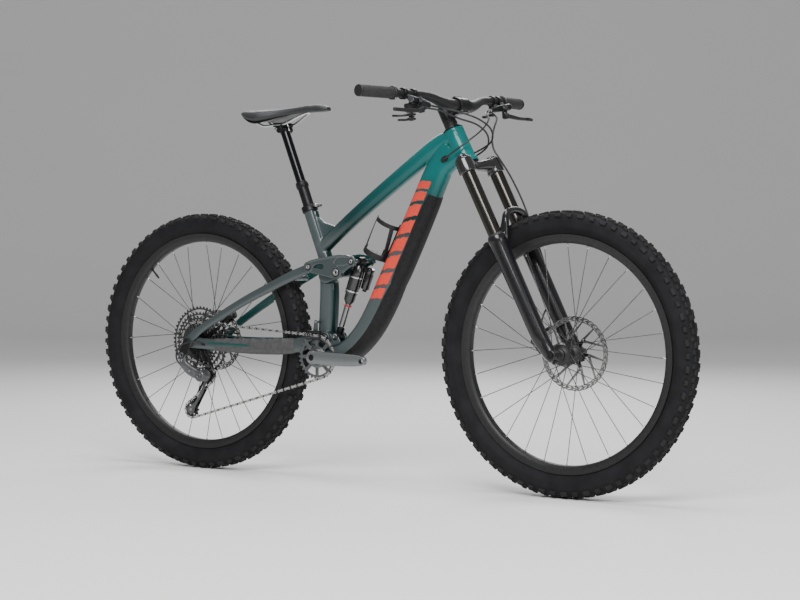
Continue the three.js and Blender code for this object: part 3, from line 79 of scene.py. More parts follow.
FRONT_AXLE = V(611, 0, 380)
REAR_AXLE = V(-611, 0, 376)
HEAD_LEAN = math.radians(27)
FORK_OFFSET = 44
HEAD_BOTTOM = 589
HEAD_TOP = 694
LEG_Y = 72
LEG_N = 30
SEAT_LEAN = math.radians(21.5)
SEAT_TOP = V(-230, 0, 771)
BB = V(-165, 0, 347)
CRANK_LENGTH = 175
MAIN_PIVOT = V(-148, 0, 402)
ROCKER_PIVOT = V(-102, 0, 587)
STAY_PIVOT = V(-198, 0, 601)
SHOCK_TOP = V(-50, 0, 618)
SHOCK_FOOT = V(-126, 0, 405)
CHAIN_PITCH = 12.7
CHAINRING_TEETH = 30
COG_TEETH = [11, 13, 15, 17, 19, 22, 25, 28, 32, 36, 42, 50]
CHAIN_COG = 7
COG_FIRST_Y = -64
COG_STEP = 3.65
JOCKEY_TEETH = 12
CHAIN_FRONT_Y = -52
CHAIN_REAR_Y = COG_FIRST_Y + CHAIN_COG * COG_STEP
JOCKEY_UPPER = V(-570, CHAIN_REAR_Y, 278)
JOCKEY_LOWER = V(-632, CHAIN_REAR_Y, 174)
HANGER = V(-628, 0, 338)
STEM_S = 742
STEM_LENGTH = 48
SPOKES = 28
# Radius of the spokes' outer ends, and of the casing's part that carries tread.
RIM_BED = 294
TREAD_FROM = 345


# ------------------------------------------------------------------ local frames


def basis(origin, x, y, z):
    m = Matrix((x, y, z)).transposed().to_4x4()
    m.translation = origin
    return m


# Steering frame: n ahead of the axis, s up it from the front axle's foot on it.
S_N = V(math.cos(HEAD_LEAN), 0, math.sin(HEAD_LEAN))
S_UP = V(-math.sin(HEAD_LEAN), 0, math.cos(HEAD_LEAN))
STEER = basis(FRONT_AXLE - S_N * FORK_OFFSET, S_N, Y, S_UP)
# Seat frame: s up the seat tube's axis from its top.
T_N = V(math.cos(SEAT_LEAN), 0, math.sin(SEAT_LEAN))
T_UP = V(-math.sin(SEAT_LEAN), 0, math.cos(SEAT_LEAN))
SEAT = basis(SEAT_TOP, T_N, Y, T_UP)
# Shock frame: s from the upper eye down to the foot, n ahead of it.
K_DOWN = (SHOCK_FOOT - SHOCK_TOP).normalized()
SHOCK = basis(SHOCK_TOP, V(-K_DOWN.z, 0, K_DOWN.x), V(0, -1, 0), K_DOWN)
SHOCK_LENGTH = (SHOCK_FOOT - SHOCK_TOP).length
# Cage frame: x from the down tube to the bottle, z down the tube.
CAGE_LEAN = math.radians(27.6)
C_X = V(-math.cos(CAGE_LEAN), 0, math.sin(CAGE_LEAN))
C_Z = V(-math.sin(CAGE_LEAN), 0, -math.cos(CAGE_LEAN))
CAGE = basis(V(82, 0, 701), C_X, Y, C_Z)


def S(n, y, s):
    return STEER @ V(n, y, s)


def T(n, y, s):
    return SEAT @ V(n, y, s)


def K(n, y, s):
    return SHOCK @ V(n, y, s)


def C(n, y, s):
    return CAGE @ V(n, y, s)


# ------------------------------------------------------------------ shapes: (points, faces)


def catmull(points, steps):
    """Points on a smooth curve through the given ones, as tuples of any length."""
    count = len(points)
    out = []
    for k in range(steps + 1):
        t = k / steps * (count - 1)
        i = min(int(t), count - 2)
        f = t - i
        p1, p2 = points[i], points[i + 1]
        p0 = points[i - 1] if i > 0 else [2 * a - b for a, b in zip(p1, p2)]
        p3 = points[i + 2] if i + 2 < count else [2 * a - b for a, b in zip(p2, p1)]
        out.append(tuple(catmull_value(*values, f) for values in zip(p0, p1, p2, p3)))
    return out


def catmull_value(a, b, c, d, f):
    square = (2 * a - 5 * b + 4 * c - d) * f * f
    return 0.5 * (2 * b + (c - a) * f + square + (3 * b - a - 3 * c + d) * f**3)


def loft(rings, caps=True, loop=False):
    """Joins rings of as many points each with faces; loop joins the last ring to the first."""
    n = len(rings[0])
    points = [p for ring in rings for p in ring]
    faces = []
    total = len(rings)
    for r in range(total if loop else total - 1):
        for i in range(n):
            j = (i + 1) % n
            a, b = r * n, ((r + 1) % total) * n
            faces.append((a + i, a + j, b + j, b + i))
    if caps and not loop:
        faces.append(tuple(reversed(range(n))))
        faces.append(tuple((total - 1) * n + i for i in range(n)))
    return points, faces


def power(c, e):
    """c to a power, with its sign kept."""
    return math.copysign(abs(c) ** e, c)


def along_path(points):
    """The direction of a run of points at each of them."""
    last = len(points) - 1
    return [(points[min(i + 1, last)] - points[max(i - 1, 0)]).normalized() for i in range(last + 1)]


def ring_points(centre, side, up, wide, high, sides, square=1.0):
    """Points round a centre: an ellipse, or a loop with fuller corners where square is below 1."""
    ring = []
    for k in range(sides):
        a = k / sides * TAU
        c, s = power(math.cos(a), square), power(math.sin(a), square)
        ring.append(centre + side * (wide * c) + up * (high * s))
    return ring


def add_object(name, data):
    obj = bpy.data.objects.new(name, data)
    bpy.context.scene.collection.objects.link(obj)
    return obj


def evaluated_mesh(obj):
    """The object's shape with its modifiers, as a mesh of its own."""
    bpy.context.view_layer.update()
    depsgraph = bpy.context.evaluated_depsgraph_get()
    return bpy.data.meshes.new_from_object(obj.evaluated_get(depsgraph))


def oval_tube(sections, sides=28, square=0.9, steps=60):
    """Sections are (x, y, z, half height, half width), the width across the bike."""
    smooth = catmull(sections, steps)
    centres = [V(*s[:3]) for s in smooth]
    rings = []
    for centre, way, section in zip(centres, along_path(centres), smooth):
        across = (Y - way * way.y).normalized()
        up = way.cross(across)
        rings.append(ring_points(centre, up, across, section[3], section[4], sides, square))
    return loft(rings)


def tube(points, radius, sides=12, steps=0, flat=1.0):
    """A round tube along a smooth curve; radius is a number, or a function of 0..1."""
    count = steps or (len(points) - 1) * 8
    path = [V(*p) for p in catmull([tuple(p) for p in points], count)]
    ways = along_path(path)
    side = ways[0].orthogonal().normalized()
    rings = []
    for i, (p, way) in enumerate(zip(path, ways)):
        side = (side - way * side.dot(way)).normalized()
        r = radius(i / count) if callable(radius) else radius
        rings.append(ring_points(p, side, way.cross(side), r, r * flat, sides))
    return loft(rings)


def lathe(profile, origin=ORIGIN, axis=Y, segments=48):
    """Turns (radius, height) pairs about an axis; a profile that ends on its start is a ring."""
    axis = axis.normalized()
    side = axis.orthogonal().normalized()
    up = axis.cross(side)
    closed = (Vector(profile[0]) - Vector(profile[-1])).length < WELD
    rows = profile[:-1] if closed else profile
    rings = [ring_points(origin + axis * h, side, up, r, r, segments) for r, h in rows]
    return loft(rings, caps=not closed, loop=closed)


def upright(profile, p, segments=48, side=1):
    """A lathed shape about an axis straight across the bike, through a point seen from the side."""
    return lathe(profile, V(p.x, 0, p.z), V(0, side, 0), segments)


def ring_profile(points):
    """A profile closed to a ring by its first point."""
    return points + points[:1]


def rod(p, q, r, r2=None, sides=24, edge=0.6):
    """A round bar between two points with softened ends."""
    r2 = r if r2 is None else r2
    length = (q - p).length
    e = min(edge, length / 3, r * 0.6, r2 * 0.6)
    profile = [(r - e, 0), (r, e), (r2, length - e), (r2 - e, length)]
    return lathe(profile, p, q - p, sides)


def pin(p, y0, y1, r, sides=32, edge=0.6):
    return rod(V(p.x, y0, p.z), V(p.x, y1, p.z), r, None, sides, edge)


def block(centre, size, edge=1.0, turn=None):
    """A box with chamfered edges."""
    hx, hy, hz = (s / 2 for s in size)
    e = min(edge, hx * 0.9, hy * 0.9, hz * 0.9)
    rings = []
    for z, inset in ((-hz, e), (-hz + e, 0), (hz - e, 0), (hz, e)):
        ring = []
        for sx, sy, first in ((1, -1, 0), (1, 1, 1), (-1, 1, 0), (-1, -1, 1)):
            x, y = hx - inset, hy - inset
            cut_x = V(sx * (x - e), sy * y, z)
            cut_y = V(sx * x, sy * (y - e), z)
            ring += [cut_y, cut_x] if first else [cut_x, cut_y]
        rings.append(ring)
    points, faces = loft(rings)
    spin = turn or Matrix.Identity(3)
    return [centre + spin @ p for p in points], faces


def place(shape, matrix):
    return [matrix @ p for p in shape[0]], shape[1]


def arc(cx, cz, r, a0, a1, count):
    step = (a1 - a0) / (count - 1)
    return [(cx + r * math.cos(a0 + i * step), cz + r * math.sin(a0 + i * step)) for i in range(count)]


def circle(cx, cz, r, count=24):
    return arc(cx, cz, r, 0, TAU * (1 - 1 / count), count)


def link_outline(p, rp, q, rq, count=14):
    """The outline round two discs, as a belt lies round two pulleys."""
    base = math.atan2(q[1] - p[1], q[0] - p[0])
    distance = math.hypot(q[0] - p[0], q[1] - p[1])
    a = math.acos((rp - rq) / distance)
    first = arc(p[0], p[1], rp, base + a, base - a + TAU, count)
    return first + arc(q[0], q[1], rq, base - a, base + a, count)


def plate(loops, y0, y1, edge=0.25):
    """A flat plate in the XZ plane between two y; the loops after the first are holes."""
    curve = bpy.data.curves.new("plate", "CURVE")
    curve.dimensions = "2D"
    curve.fill_mode = "BOTH"
    thick = (y1 - y0) / 2
    e = min(edge, thick * 0.8)
    curve.extrude = thick - e
    curve.bevel_depth = e
    curve.bevel_resolution = 0
    curve.offset = -e
    x0, z0 = loops[0][0]
    for outline in loops:
        spline = curve.splines.new("POLY")
        spline.points.add(len(outline) - 1)
        for point, (x, z) in zip(spline.points, outline):
            point.co = (x - x0, z - z0, 0, 1)
        spline.use_cyclic_u = True
    obj = add_object("plate", curve)
    mesh = evaluated_mesh(obj)
    middle = (y0 + y1) / 2
    points = [V(v.co.x + x0, middle - v.co.z, v.co.y + z0) for v in mesh.vertices]
    faces = [tuple(f.vertices) for f in mesh.polygons]
    bpy.data.objects.remove(obj)
    bpy.data.curves.remove(curve)
    bpy.data.meshes.remove(mesh)
    return points, faces


# ------------------------------------------------------------------ making pieces


def piece(name, body, parts, replaces=(), angle=38, remesh=0.0, smooth=0, slim=1.0):
    """One object from [(shape, material), ...]; remesh melts the shapes into one casting."""
    mesh = bpy.data.meshes.new(name)
    points, faces, slots = [], [], []
    materials = []
    for shape, material in parts:
        if material not in materials:
            materials.append(material)
        base = len(points)
        points += [p * MM for p in shape[0]]
        faces += [tuple(base + i for i in f) for f in shape[1]]
        slots += [materials.index(material)] * len(shape[1])
    mesh.from_pydata(points, [], faces)
    mesh.polygons.foreach_set("material_index", slots)
    for material in materials:
        mesh.materials.append(material)
    obj = add_object(name, mesh)
    if remesh:
        melt(obj, remesh, smooth, slim)
    finish_normals(obj, CASTING_ANGLE if remesh else angle)
    if replaces:
        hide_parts(*replaces)
    if body:
        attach(obj, body)
    return obj


def casting(name, body, shapes, material_, replaces=(), voxel=1.0, smooth=3, slim=0.5):
    """One piece of one material, whose shapes are melted together."""
    parts = [(s, material_) for s in shapes]
    return piece(name, body, parts, replaces, remesh=voxel, smooth=smooth, slim=slim)


def finish_normals(obj, angle):
    """Welds a piece's points, turns its faces outward and marks its sharp edges."""
    mesh = obj.data
    fix = bmesh.new()
    fix.from_mesh(mesh)
    bmesh.ops.remove_doubles(fix, verts=fix.verts, dist=WELD)
    bmesh.ops.recalc_face_normals(fix, faces=fix.faces)
    fix.to_mesh(mesh)
    fix.free()
    mesh.polygons.foreach_set("use_smooth", [True] * len(mesh.polygons))
    mesh.set_sharp_from_angle(angle=math.radians(angle))
    mesh.update()


def melt(obj, voxel, smooth, slim):
    """Joins the shapes of a piece into one skin and rounds the corners between them."""
    remesh = obj.modifiers.new("remesh", "REMESH")
    remesh.mode = "VOXEL"
    remesh.voxel_size = voxel * MM
    if smooth:
        soften = obj.modifiers.new("soften", "SMOOTH")
        soften.factor = 0.5
        soften.iterations = smooth
    if slim < 1:
        fewer = obj.modifiers.new("fewer", "DECIMATE")
        fewer.ratio = slim
    mesh = evaluated_mesh(obj)
    obj.modifiers.clear()
    old = obj.data
    obj.data = mesh
    mesh.name = old.name
    bpy.data.meshes.remove(old)


def cut_away(obj, shape):
    """Cuts a shape out of a piece; the flat faces that it leaves are split into triangles."""
    tool = bpy.data.meshes.new("cutter")
    tool.from_pydata([p * MM for p in shape[0]], [], shape[1])
    cutter = add_object("cutter", tool)
    hole = obj.modifiers.new("hole", "BOOLEAN")
    hole.operation = "DIFFERENCE"
    hole.solver = "EXACT"
    hole.object = cutter
    mesh = evaluated_mesh(obj)
    obj.modifiers.clear()
    obj.data = mesh
    split = bmesh.new()
    split.from_mesh(mesh)
    bmesh.ops.triangulate(split, faces=[f for f in split.faces if len(f.verts) > 4])
    split.to_mesh(mesh)
    split.free()
    bpy.data.objects.remove(cutter)
    mesh.set_sharp_from_angle(angle=math.radians(CUT_ANGLE))


# ------------------------------------------------------------------ materials


def material(name):
    mat = bpy.data.materials.new(name)
    mat.use_nodes = True
    return mat, mat.node_tree, mat.node_tree.nodes["Principled BSDF"]


def feed(tree, socket, value):
    """Links an output to a socket, or sets the socket to a fixed value."""
    if hasattr(value, "is_output"):
        tree.links.new(value, socket)
    else:
        socket.default_value = value


def node(tree, kind, **values):
    """A node with its inputs or settings given by name; an underscore stands for a space."""
    made = tree.nodes.new(kind)
    for key, value in values.items():
        name = key.replace("_", " ")
        if name in made.inputs:
            feed(tree, made.inputs[name], value)
        else:
            setattr(made, key, value)
    return made


def dress(tree, shader, **values):
    """Sets the shader's inputs by name; an underscore stands for a space."""
    for key, value in values.items():
        feed(tree, shader.inputs[key.replace("_", " ")], value)


def noise(tree, scale, detail=4.0, stretch=(1, 1, 1)):
    """A noise value in the object's own space, stretched along its axes."""
    coords = node(tree, "ShaderNodeTexCoord").outputs["Object"]
    mapping = node(tree, "ShaderNodeMapping", Scale=stretch, Vector=coords)
    vector = mapping.outputs["Vector"]
    return node(tree, "ShaderNodeTexNoise", Scale=scale, Detail=detail, Vector=vector).outputs["Fac"]


def ramp(tree, value, stops):
    made = node(tree, "ShaderNodeValToRGB", Fac=value)
    elements = made.color_ramp.elements
    while len(elements) < len(stops):
        elements.new(0.5)
    for element, (position, colour) in zip(elements, stops):
        element.position = position
        element.color = (*colour, 1)
    return made.outputs["Color"]


def spread(tree, value, low, high):
    """A value from 0..1 spread between two limits."""
    return node(tree, "ShaderNodeMapRange", Value=value, To_Min=low, To_Max=high).outputs["Result"]


def maths(tree, operation, *values):
    """One arithmetic step; each value is a number or another node's output."""
    made = node(tree, "ShaderNodeMath", operation=operation)
    for socket, value in zip(made.inputs, values):
        feed(tree, socket, value)
    return made.outputs["Value"]


def bump(tree, shader, value, strength, distance):
    made = node(tree, "ShaderNodeBump", Strength=strength, Distance=distance, Height=value)
    dress(tree, shader, Normal=made.outputs["Normal"])


def speckled(name, dark, light, rough, metallic, grain=180.0, bumpy=0.1, depth=0.0004, **more):
    """A base material: two near colours and a roughness range, spread by noise."""
    mat, tree, shader = material(name)
    coarse = noise(tree, grain * 0.15, 5.0)
    fine = noise(tree, grain, 3.0)
    colour = ramp(tree, coarse, [(0.35, dark), (0.65, light)])
    bump(tree, shader, fine, bumpy, depth)
    roughness = spread(tree, fine, *rough)
    dress(tree, shader, Metallic=metallic, Base_Color=colour, Roughness=roughness, **more)
    return mat


def brushed(name, dark, light, rough, stretch=(1, 1, 1), metallic=1.0):
    """Metal with fine lines left by machining."""
    mat, tree, shader = material(name)
    lines = noise(tree, 220.0, 3.0, stretch)
    colour = ramp(tree, lines, [(0.3, dark), (0.7, light)])
    bump(tree, shader, lines, 0.08, 0.0002)
    dress(tree, shader, Metallic=metallic, Base_Color=colour, Roughness=spread(tree, lines, *rough))
    return mat


def position_value(tree, weights, offset):
    """weights . position + offset, in metres along the piece at rest."""
    dot = node(tree, "ShaderNodeVectorMath", operation="DOT_PRODUCT")
    feed(tree, dot.inputs[0], node(tree, "ShaderNodeTexCoord").outputs["Object"])
    feed(tree, dot.inputs[1], weights)
    return maths(tree, "ADD", dot.outputs["Value"], offset)


def sideways(tree):
    """The y part of the surface's direction, in the piece's own space."""
    direction = node(tree, "ShaderNodeTexCoord").outputs["Normal"]
    return node(tree, "ShaderNodeSeparateXYZ", Vector=direction).outputs["Y"]


def mixed(tree, factor, first, second, blend="MIX"):
    """Two colours mixed by a value, a colour, or a fixed share."""
    mix = node(tree, "ShaderNodeMix", data_type="RGBA", blend_type=blend)
    for socket, value in ((0, factor), (6, first), (7, second)):
        feed(tree, mix.inputs[socket], value)
    return mix.outputs[2]


def frame_paint():
    """Teal at the head, fading to dark green behind and below, its rear sides greyer."""
    mat, tree, shader = material("frame_paint")
    back = position_value(tree, (1.84, 0, 0.44), 0.122)
    low = position_value(tree, (0, 0, 4.5), -3.0)
    fade = maths(tree, "MINIMUM", back, low)
    stops = [
        (0.05, (0.002, 0.020, 0.020)),
        (0.35, (0.001, 0.036, 0.036)),
        (0.62, (0.000, 0.088, 0.086)),
        (0.88, (0.000, 0.160, 0.154)),
    ]
    colour = ramp(tree, fade, stops)
    rear = ramp(tree, fade, [(0.0, (1, 1, 1)), (0.3, (0, 0, 0))])
    square_on = maths(tree, "ABSOLUTE", sideways(tree))
    sides = node(tree, "ShaderNodeMapRange", Value=square_on, From_Min=0.55, From_Max=0.85)
    share = maths(tree, "MULTIPLY", rear, sides.outputs["Result"])
    colour = mixed(tree, share, colour, (0.070, 0.088, 0.091, 1))
    flake = noise(tree, 2600.0, 1.0)
    shade = ramp(tree, flake, [(0.3, (0.72, 0.72, 0.72)), (0.75, (1.0, 1.0, 1.0))])
    dress(tree, shader, Base_Color=mixed(tree, 1.0, colour, shade, "MULTIPLY"),
          Roughness=spread(tree, flake, 0.28, 0.42), Metallic=0.0, Specular_IOR_Level=0.2,
          Coat_Weight=0.4, Coat_Roughness=0.07)
    return mat


def stay_paint():
    """Satin grey-green outside; the faces that look in at the wheel are teal-green."""
    mat, tree, shader = material("stay_paint")
    across = position_value(tree, (0, -200, 0), 0)
    side = node(tree, "ShaderNodeClamp", Min=-1, Value=across)
    inward = maths(tree, "MULTIPLY", side.outputs["Result"], sideways(tree))
    mask = ramp(tree, inward, [(0.35, (0, 0, 0)), (0.6, (1, 1, 1))])
    grain = noise(tree, 2400.0, 3.0)
    outside = ramp(tree, grain, [(0.3, (0.042, 0.055, 0.057)), (0.7, (0.058, 0.073, 0.075))])
    dress(tree, shader, Base_Color=mixed(tree, mask, outside, (0.002, 0.060, 0.056, 1)),
          Roughness=spread(tree, grain, 0.30, 0.42), Metallic=0.35, Coat_Weight=0.5,
          Coat_Roughness=0.2)
    return mat


def tyre_rubber(name, colour):
    """Matt rubber, a little lighter where dust would lie."""
    mat, tree, shader = material(name)
    fine = noise(tree, 900.0, 4.0)
    dust = noise(tree, 22.0, 5.0)
    light = tuple(c * 1.5 + 0.002 for c in colour)
    bump(tree, shader, fine, 0.25, 0.0003)
    dress(tree, shader, Base_Color=ramp(tree, dust, [(0.35, colour), (0.75, light)]),
          Roughness=spread(tree, fine, 0.62, 0.85), Specular_IOR_Level=0.15)
    return mat


PAINT = frame_paint()
STAY = stay_paint()
BLACK = speckled("black_anodised", (0.010, 0.010, 0.011), (0.018, 0.018, 0.020), (0.30, 0.44), 0.65,
                 grain=1400.0, bumpy=0.05, depth=0.0001)
GLOSS_BLACK = speckled("gloss_black_paint", (0.008, 0.008, 0.009), (0.013, 0.013, 0.014), (0.2, 0.3),
                       0.2, grain=900.0, bumpy=0.01, Coat_Weight=0.8, Coat_Roughness=0.08)
SATIN_BLACK = speckled("satin_black", (0.011, 0.011, 0.012), (0.02, 0.02, 0.021), (0.4, 0.52), 0.3,
                       grain=1200.0, bumpy=0.04, depth=0.0001)
PLASTIC = speckled("black_plastic", (0.010, 0.010, 0.011), (0.018, 0.018, 0.019), (0.44, 0.58), 0.0,
                   grain=1000.0, bumpy=0.2, depth=0.0003, Specular_IOR_Level=0.3)
GUARD = speckled("guard_rubber", (0.008, 0.008, 0.009), (0.014, 0.014, 0.015), (0.5, 0.65), 0.0,
                 grain=700.0, bumpy=0.2, depth=0.0003, Specular_IOR_Level=0.2)
RUBBER = speckled("grip_rubber", (0.012, 0.012, 0.013), (0.026, 0.026, 0.027), (0.62, 0.8), 0.0,
                  grain=800.0, bumpy=0.3, depth=0.0004)
SADDLE = speckled("saddle_cover", (0.013, 0.014, 0.015), (0.024, 0.025, 0.027), (0.36, 0.5), 0.0,
                  grain=1300.0, bumpy=0.35, depth=0.0003)
ROTOR = brushed("rotor_steel", (0.17, 0.17, 0.17), (0.27, 0.27, 0.265), (0.22, 0.34), (1, 1, 1), 0.95)
CHAIN = brushed("chain_plate", (0.44, 0.44, 0.43), (0.62, 0.62, 0.60), (0.20, 0.30), (1, 3, 1), 0.95)
COG = brushed("cog_steel", (0.045, 0.046, 0.047), (0.105, 0.106, 0.108), (0.26, 0.4), (1, 1, 1), 0.95)
GREY = speckled("grey_alloy", (0.10, 0.105, 0.11), (0.16, 0.165, 0.17), (0.28, 0.4), 0.85,
                grain=1500.0, bumpy=0.04, depth=0.0001)
SILVER = brushed("silver_alloy", (0.48, 0.49, 0.50), (0.66, 0.67, 0.68), (0.24, 0.36), (6, 1, 6))
SPOKE = brushed("spoke_steel", (0.05, 0.05, 0.052), (0.11, 0.11, 0.112), (0.3, 0.42), (1, 1, 1), 0.8)
HOSE = speckled("hose_plastic", (0.010, 0.010, 0.011), (0.018, 0.018, 0.019), (0.34, 0.46), 0.0,
                grain=900.0, bumpy=0.08)
TREAD = tyre_rubber("tread_rubber", (0.015, 0.015, 0.016))
WALL = tyre_rubber("sidewall_rubber", (0.009, 0.009, 0.010))
RED = speckled("red_ring", (0.35, 0.012, 0.010), (0.5, 0.02, 0.015), (0.4, 0.5), 0.0, grain=600.0)
GRAPHIC = speckled("orange_red_graphic", (0.66, 0.040, 0.022), (0.74, 0.052, 0.030), (0.3, 0.4), 0.0,
                   grain=900.0, bumpy=0.01, Coat_Weight=0.8, Coat_Roughness=0.08)
BOLT = brushed("bolt_steel", (0.30, 0.30, 0.31), (0.52, 0.52, 0.53), (0.24, 0.36), (1, 1, 1))

# ------------------------------------------------------------------ front frame

# (x, y, z, half height, half width)
TOP_TUBE = [
    (262, 0, 955, 20, 25),
    (238, 0, 953, 22, 25),
    (200, 0, 930, 25, 26),
    (163, 0, 906, 24, 25),
    (96, 0, 860, 23, 24),
    (-5, 0, 789, 22, 22),
    (-92, 0, 725, 21, 20),
    (-160, 0, 670, 20, 19),
    (-178, 0, 652, 16, 16),
]
DOWN_TUBE = [
    (254, 0, 932, 32, 25),
    (232, 0, 905, 34, 26),
    (205, 0, 858, 38, 28),
    (172, 0, 791, 39, 30),
    (118, 0, 682, 40, 32),
    (58, 0, 565, 40, 33),
    (10, 0, 475, 38, 34),
    (-32, 0, 415, 35, 36),
    (-85, 0, 368, 32, 39),
    (-150, 0, 345, 29, 42),
]
SEAT_TUBE_LOW = [
    (-176, 0, 640, 19, 18),
    (-163, 0, 590, 24, 22),
    (-158, 0, 540, 27, 24),
    (-160, 0, 470, 27, 25),
    (-163, 0, 420, 26, 26),
    (-165, 0, 385, 25, 26.5),
    (-166, 0, 350, 22, 34),
]
HEAD_WEB = [(222, 0, 868, 24, 24), (250, 0, 891, 24, 25), (283, 0, 912, 24, 26)]
# The web between the seat tube's top and the top tube, from the side.
SEAT_WEB = [
    (-206, 761), (-202, 761), (-196, 743), (-176, 727), (-141, 718), (-126, 706), (-165, 672), (-192, 690),
]


def both_sides(p, near, far, r):
    """Two discs across the bike, one on each side, between two distances from its middle."""
    return [pin(p, near, far, r), pin(p, -far, -near, r)]


def lug(p, rp, q, rq, y0, y1):
    """A plate round two discs, in the bike's own plane."""
    return plate([link_outline((p.x, p.z), rp, (q.x, q.z), rq)], y0, y1, 2.0)


def front_frame():
    head = [(32, HEAD_BOTTOM), (32, HEAD_BOTTOM + 9), (28.5, HEAD_BOTTOM + 16), (28, HEAD_TOP - 12)]
    head += [(28.5, HEAD_TOP - 8), (28.5, HEAD_TOP)]
    # Two ears on the down tube hold the shock's lower eye between them.
    ear_root = V(-112, 0, 368)
    ears = [lug(ear_root, 16, SHOCK_FOOT, 11, y0, y1) for y0, y1 in ((13.5, 22), (-22, -13.5))]
    shapes = [
        lathe(head, S(0, 0, 0), S_UP),
        oval_tube(TOP_TUBE, square=0.85),
        oval_tube(DOWN_TUBE, square=0.8),
        rod(T(0, 0, -178), T(0, 0, 0), 19.5),
        oval_tube(SEAT_TUBE_LOW, square=0.85),
        oval_tube(HEAD_WEB, square=0.85, steps=20),
        plate([SEAT_WEB], -7.8, 7.8, 2),
        pin(BB, -46, 46, 30),
        lug(V(-152, 0, 578), 24, ROCKER_PIVOT, 16, -32, 32),
        pin(ROCKER_PIVOT, -32, 32, 16),
        pin(MAIN_PIVOT, -27.5, 27.5, 16),
        lug(BB, 28, MAIN_PIVOT, 15, -27, 27),
        *ears,
    ]
    body = casting("frame_body", "frame", shapes, PAINT, ["front_frame"], 2.2, 6, 0.75)
    # Above the head tube's end face only the stem goes on.
    cut_away(body, rod(S(0, 0, HEAD_TOP - 0.4), S(0, 0, HEAD_TOP + 30), 30, sides=64, edge=0.1))
    # The seat tube's bore, which the dropper post's sleeve fills.
    cut_away(body, rod(T(0, 0, -171), T(0, 0, 30), 15.8, sides=56, edge=0.1))


def graphic_bars():
    """A plain graphic of slanted bars along both sides of the down tube."""
    bars, start, end = 8, 0.268, 0.632
    pitch = (end - start) / bars
    # How far a bar stands out of the tube's surface, and reaches into it.
    proud, sunk = 0.3, 1
    for side in SIDES:
        parts = []
        for i in range(bars):
            rings = []
            for k in range(9):
                f = k / 8
                top, skin = [], []
                for j in range(11):
                    across = j / 10
                    slant = 0.030 * (across - 0.5)
                    # The bar lies on the tube's flank: a is the angle round it from straight below.
                    t = start + pitch * (i + 0.08 + 0.74 * f) + slant
                    p, out, section = on_down_tube(t)
                    a = 1.42 + 1.02 * across
                    high, wide = section[3], section[4]
                    c, s = power(math.cos(a), 0.8), power(math.sin(a), 0.8)
                    for ring, lift in ((top, proud), (skin, -sunk)):
                        across_bike = V(0, side * s * (wide + lift), 0)
                        ring.append(p + out * (c * (high + lift)) + across_bike)
                rings.append(top + list(reversed(skin)))
            parts.append((loft(rings), GRAPHIC))
        piece("down_tube_graphic_" + side_tag(side), "frame", parts, angle=40)


def cable_ports():
    """The rubber port where the hoses go into the head of the down tube, on both sides."""
    rim = ring_profile([(6.2, 0), (8.6, 0), (8.8, 0.8), (8, 1.8), (6.2, 1.8)])
    plug = [(0.5, -2), (7, -2), (7, 0.6), (0.5, 0.6)]
    for side in SIDES:
        turned = Matrix.Translation(V(245, side * 25.4, 899)) @ Matrix.Rotation(-0.5, 4, "Y")
        oval = turned @ Matrix.Diagonal((1.5, 1, 0.95, 1))
        parts = [
            (place(lathe(profile, ORIGIN, V(0, side, 0), 32), oval), mat)
            for profile, mat in ((rim, PLASTIC), (plug, RUBBER))
        ]
        piece("cable_port_" + side_tag(side), "frame", parts)


def on_down_tube(t):
    """Centre, outward (down) direction and section of the down tube at t of 0..1."""
    steps = 200
    section = catmull(DOWN_TUBE, steps)
    i = min(int(t * steps), steps - 1)
    p = V(*section[i][:3])
    way = (V(*section[i + 1][:3]) - p).normalized()
    out = V(way.z, 0, -way.x)
    if out.z > 0:
        out = -out
    return p, out, section[i]


# How far round the tube a guard reaches from straight below it, in radians.
GUARD_COVER = 1.36


def shell_guard(name, t0, t1, thickness, steps):
    """A moulded guard round the underside of the down tube, thinning to its edges."""
    rings = []
    for k in range(steps + 1):
        t = t0 + (t1 - t0) * k / steps
        p, out, section = on_down_tube(t)
        ends = min(1, 6 * min(k, steps - k) / steps)
        open_by = GUARD_COVER * (0.9 + 0.1 * math.sqrt(ends))
        outer, inner = [], []
        for j in range(25):
            a = -open_by + 2 * open_by * j / 24
            c, s = power(math.cos(a), 0.8), power(math.sin(a), 0.8)
            edge = min(1, 5 * min(j, 24 - j) / 24)
            lift = 0.4 + (thickness - 0.4) * min(edge, 0.25 + ends)
            high, wide = section[3], section[4]
            outer.append(p + out * (c * (high + lift)) + V(0, s * (wide + lift), 0))
            inner.append(p + out * (c * (high - 1.5)) + V(0, s * (wide - 1.5), 0))
        rings.append(outer + list(reversed(inner)))
    piece(name, "frame", [(loft(rings), GUARD)], angle=30)


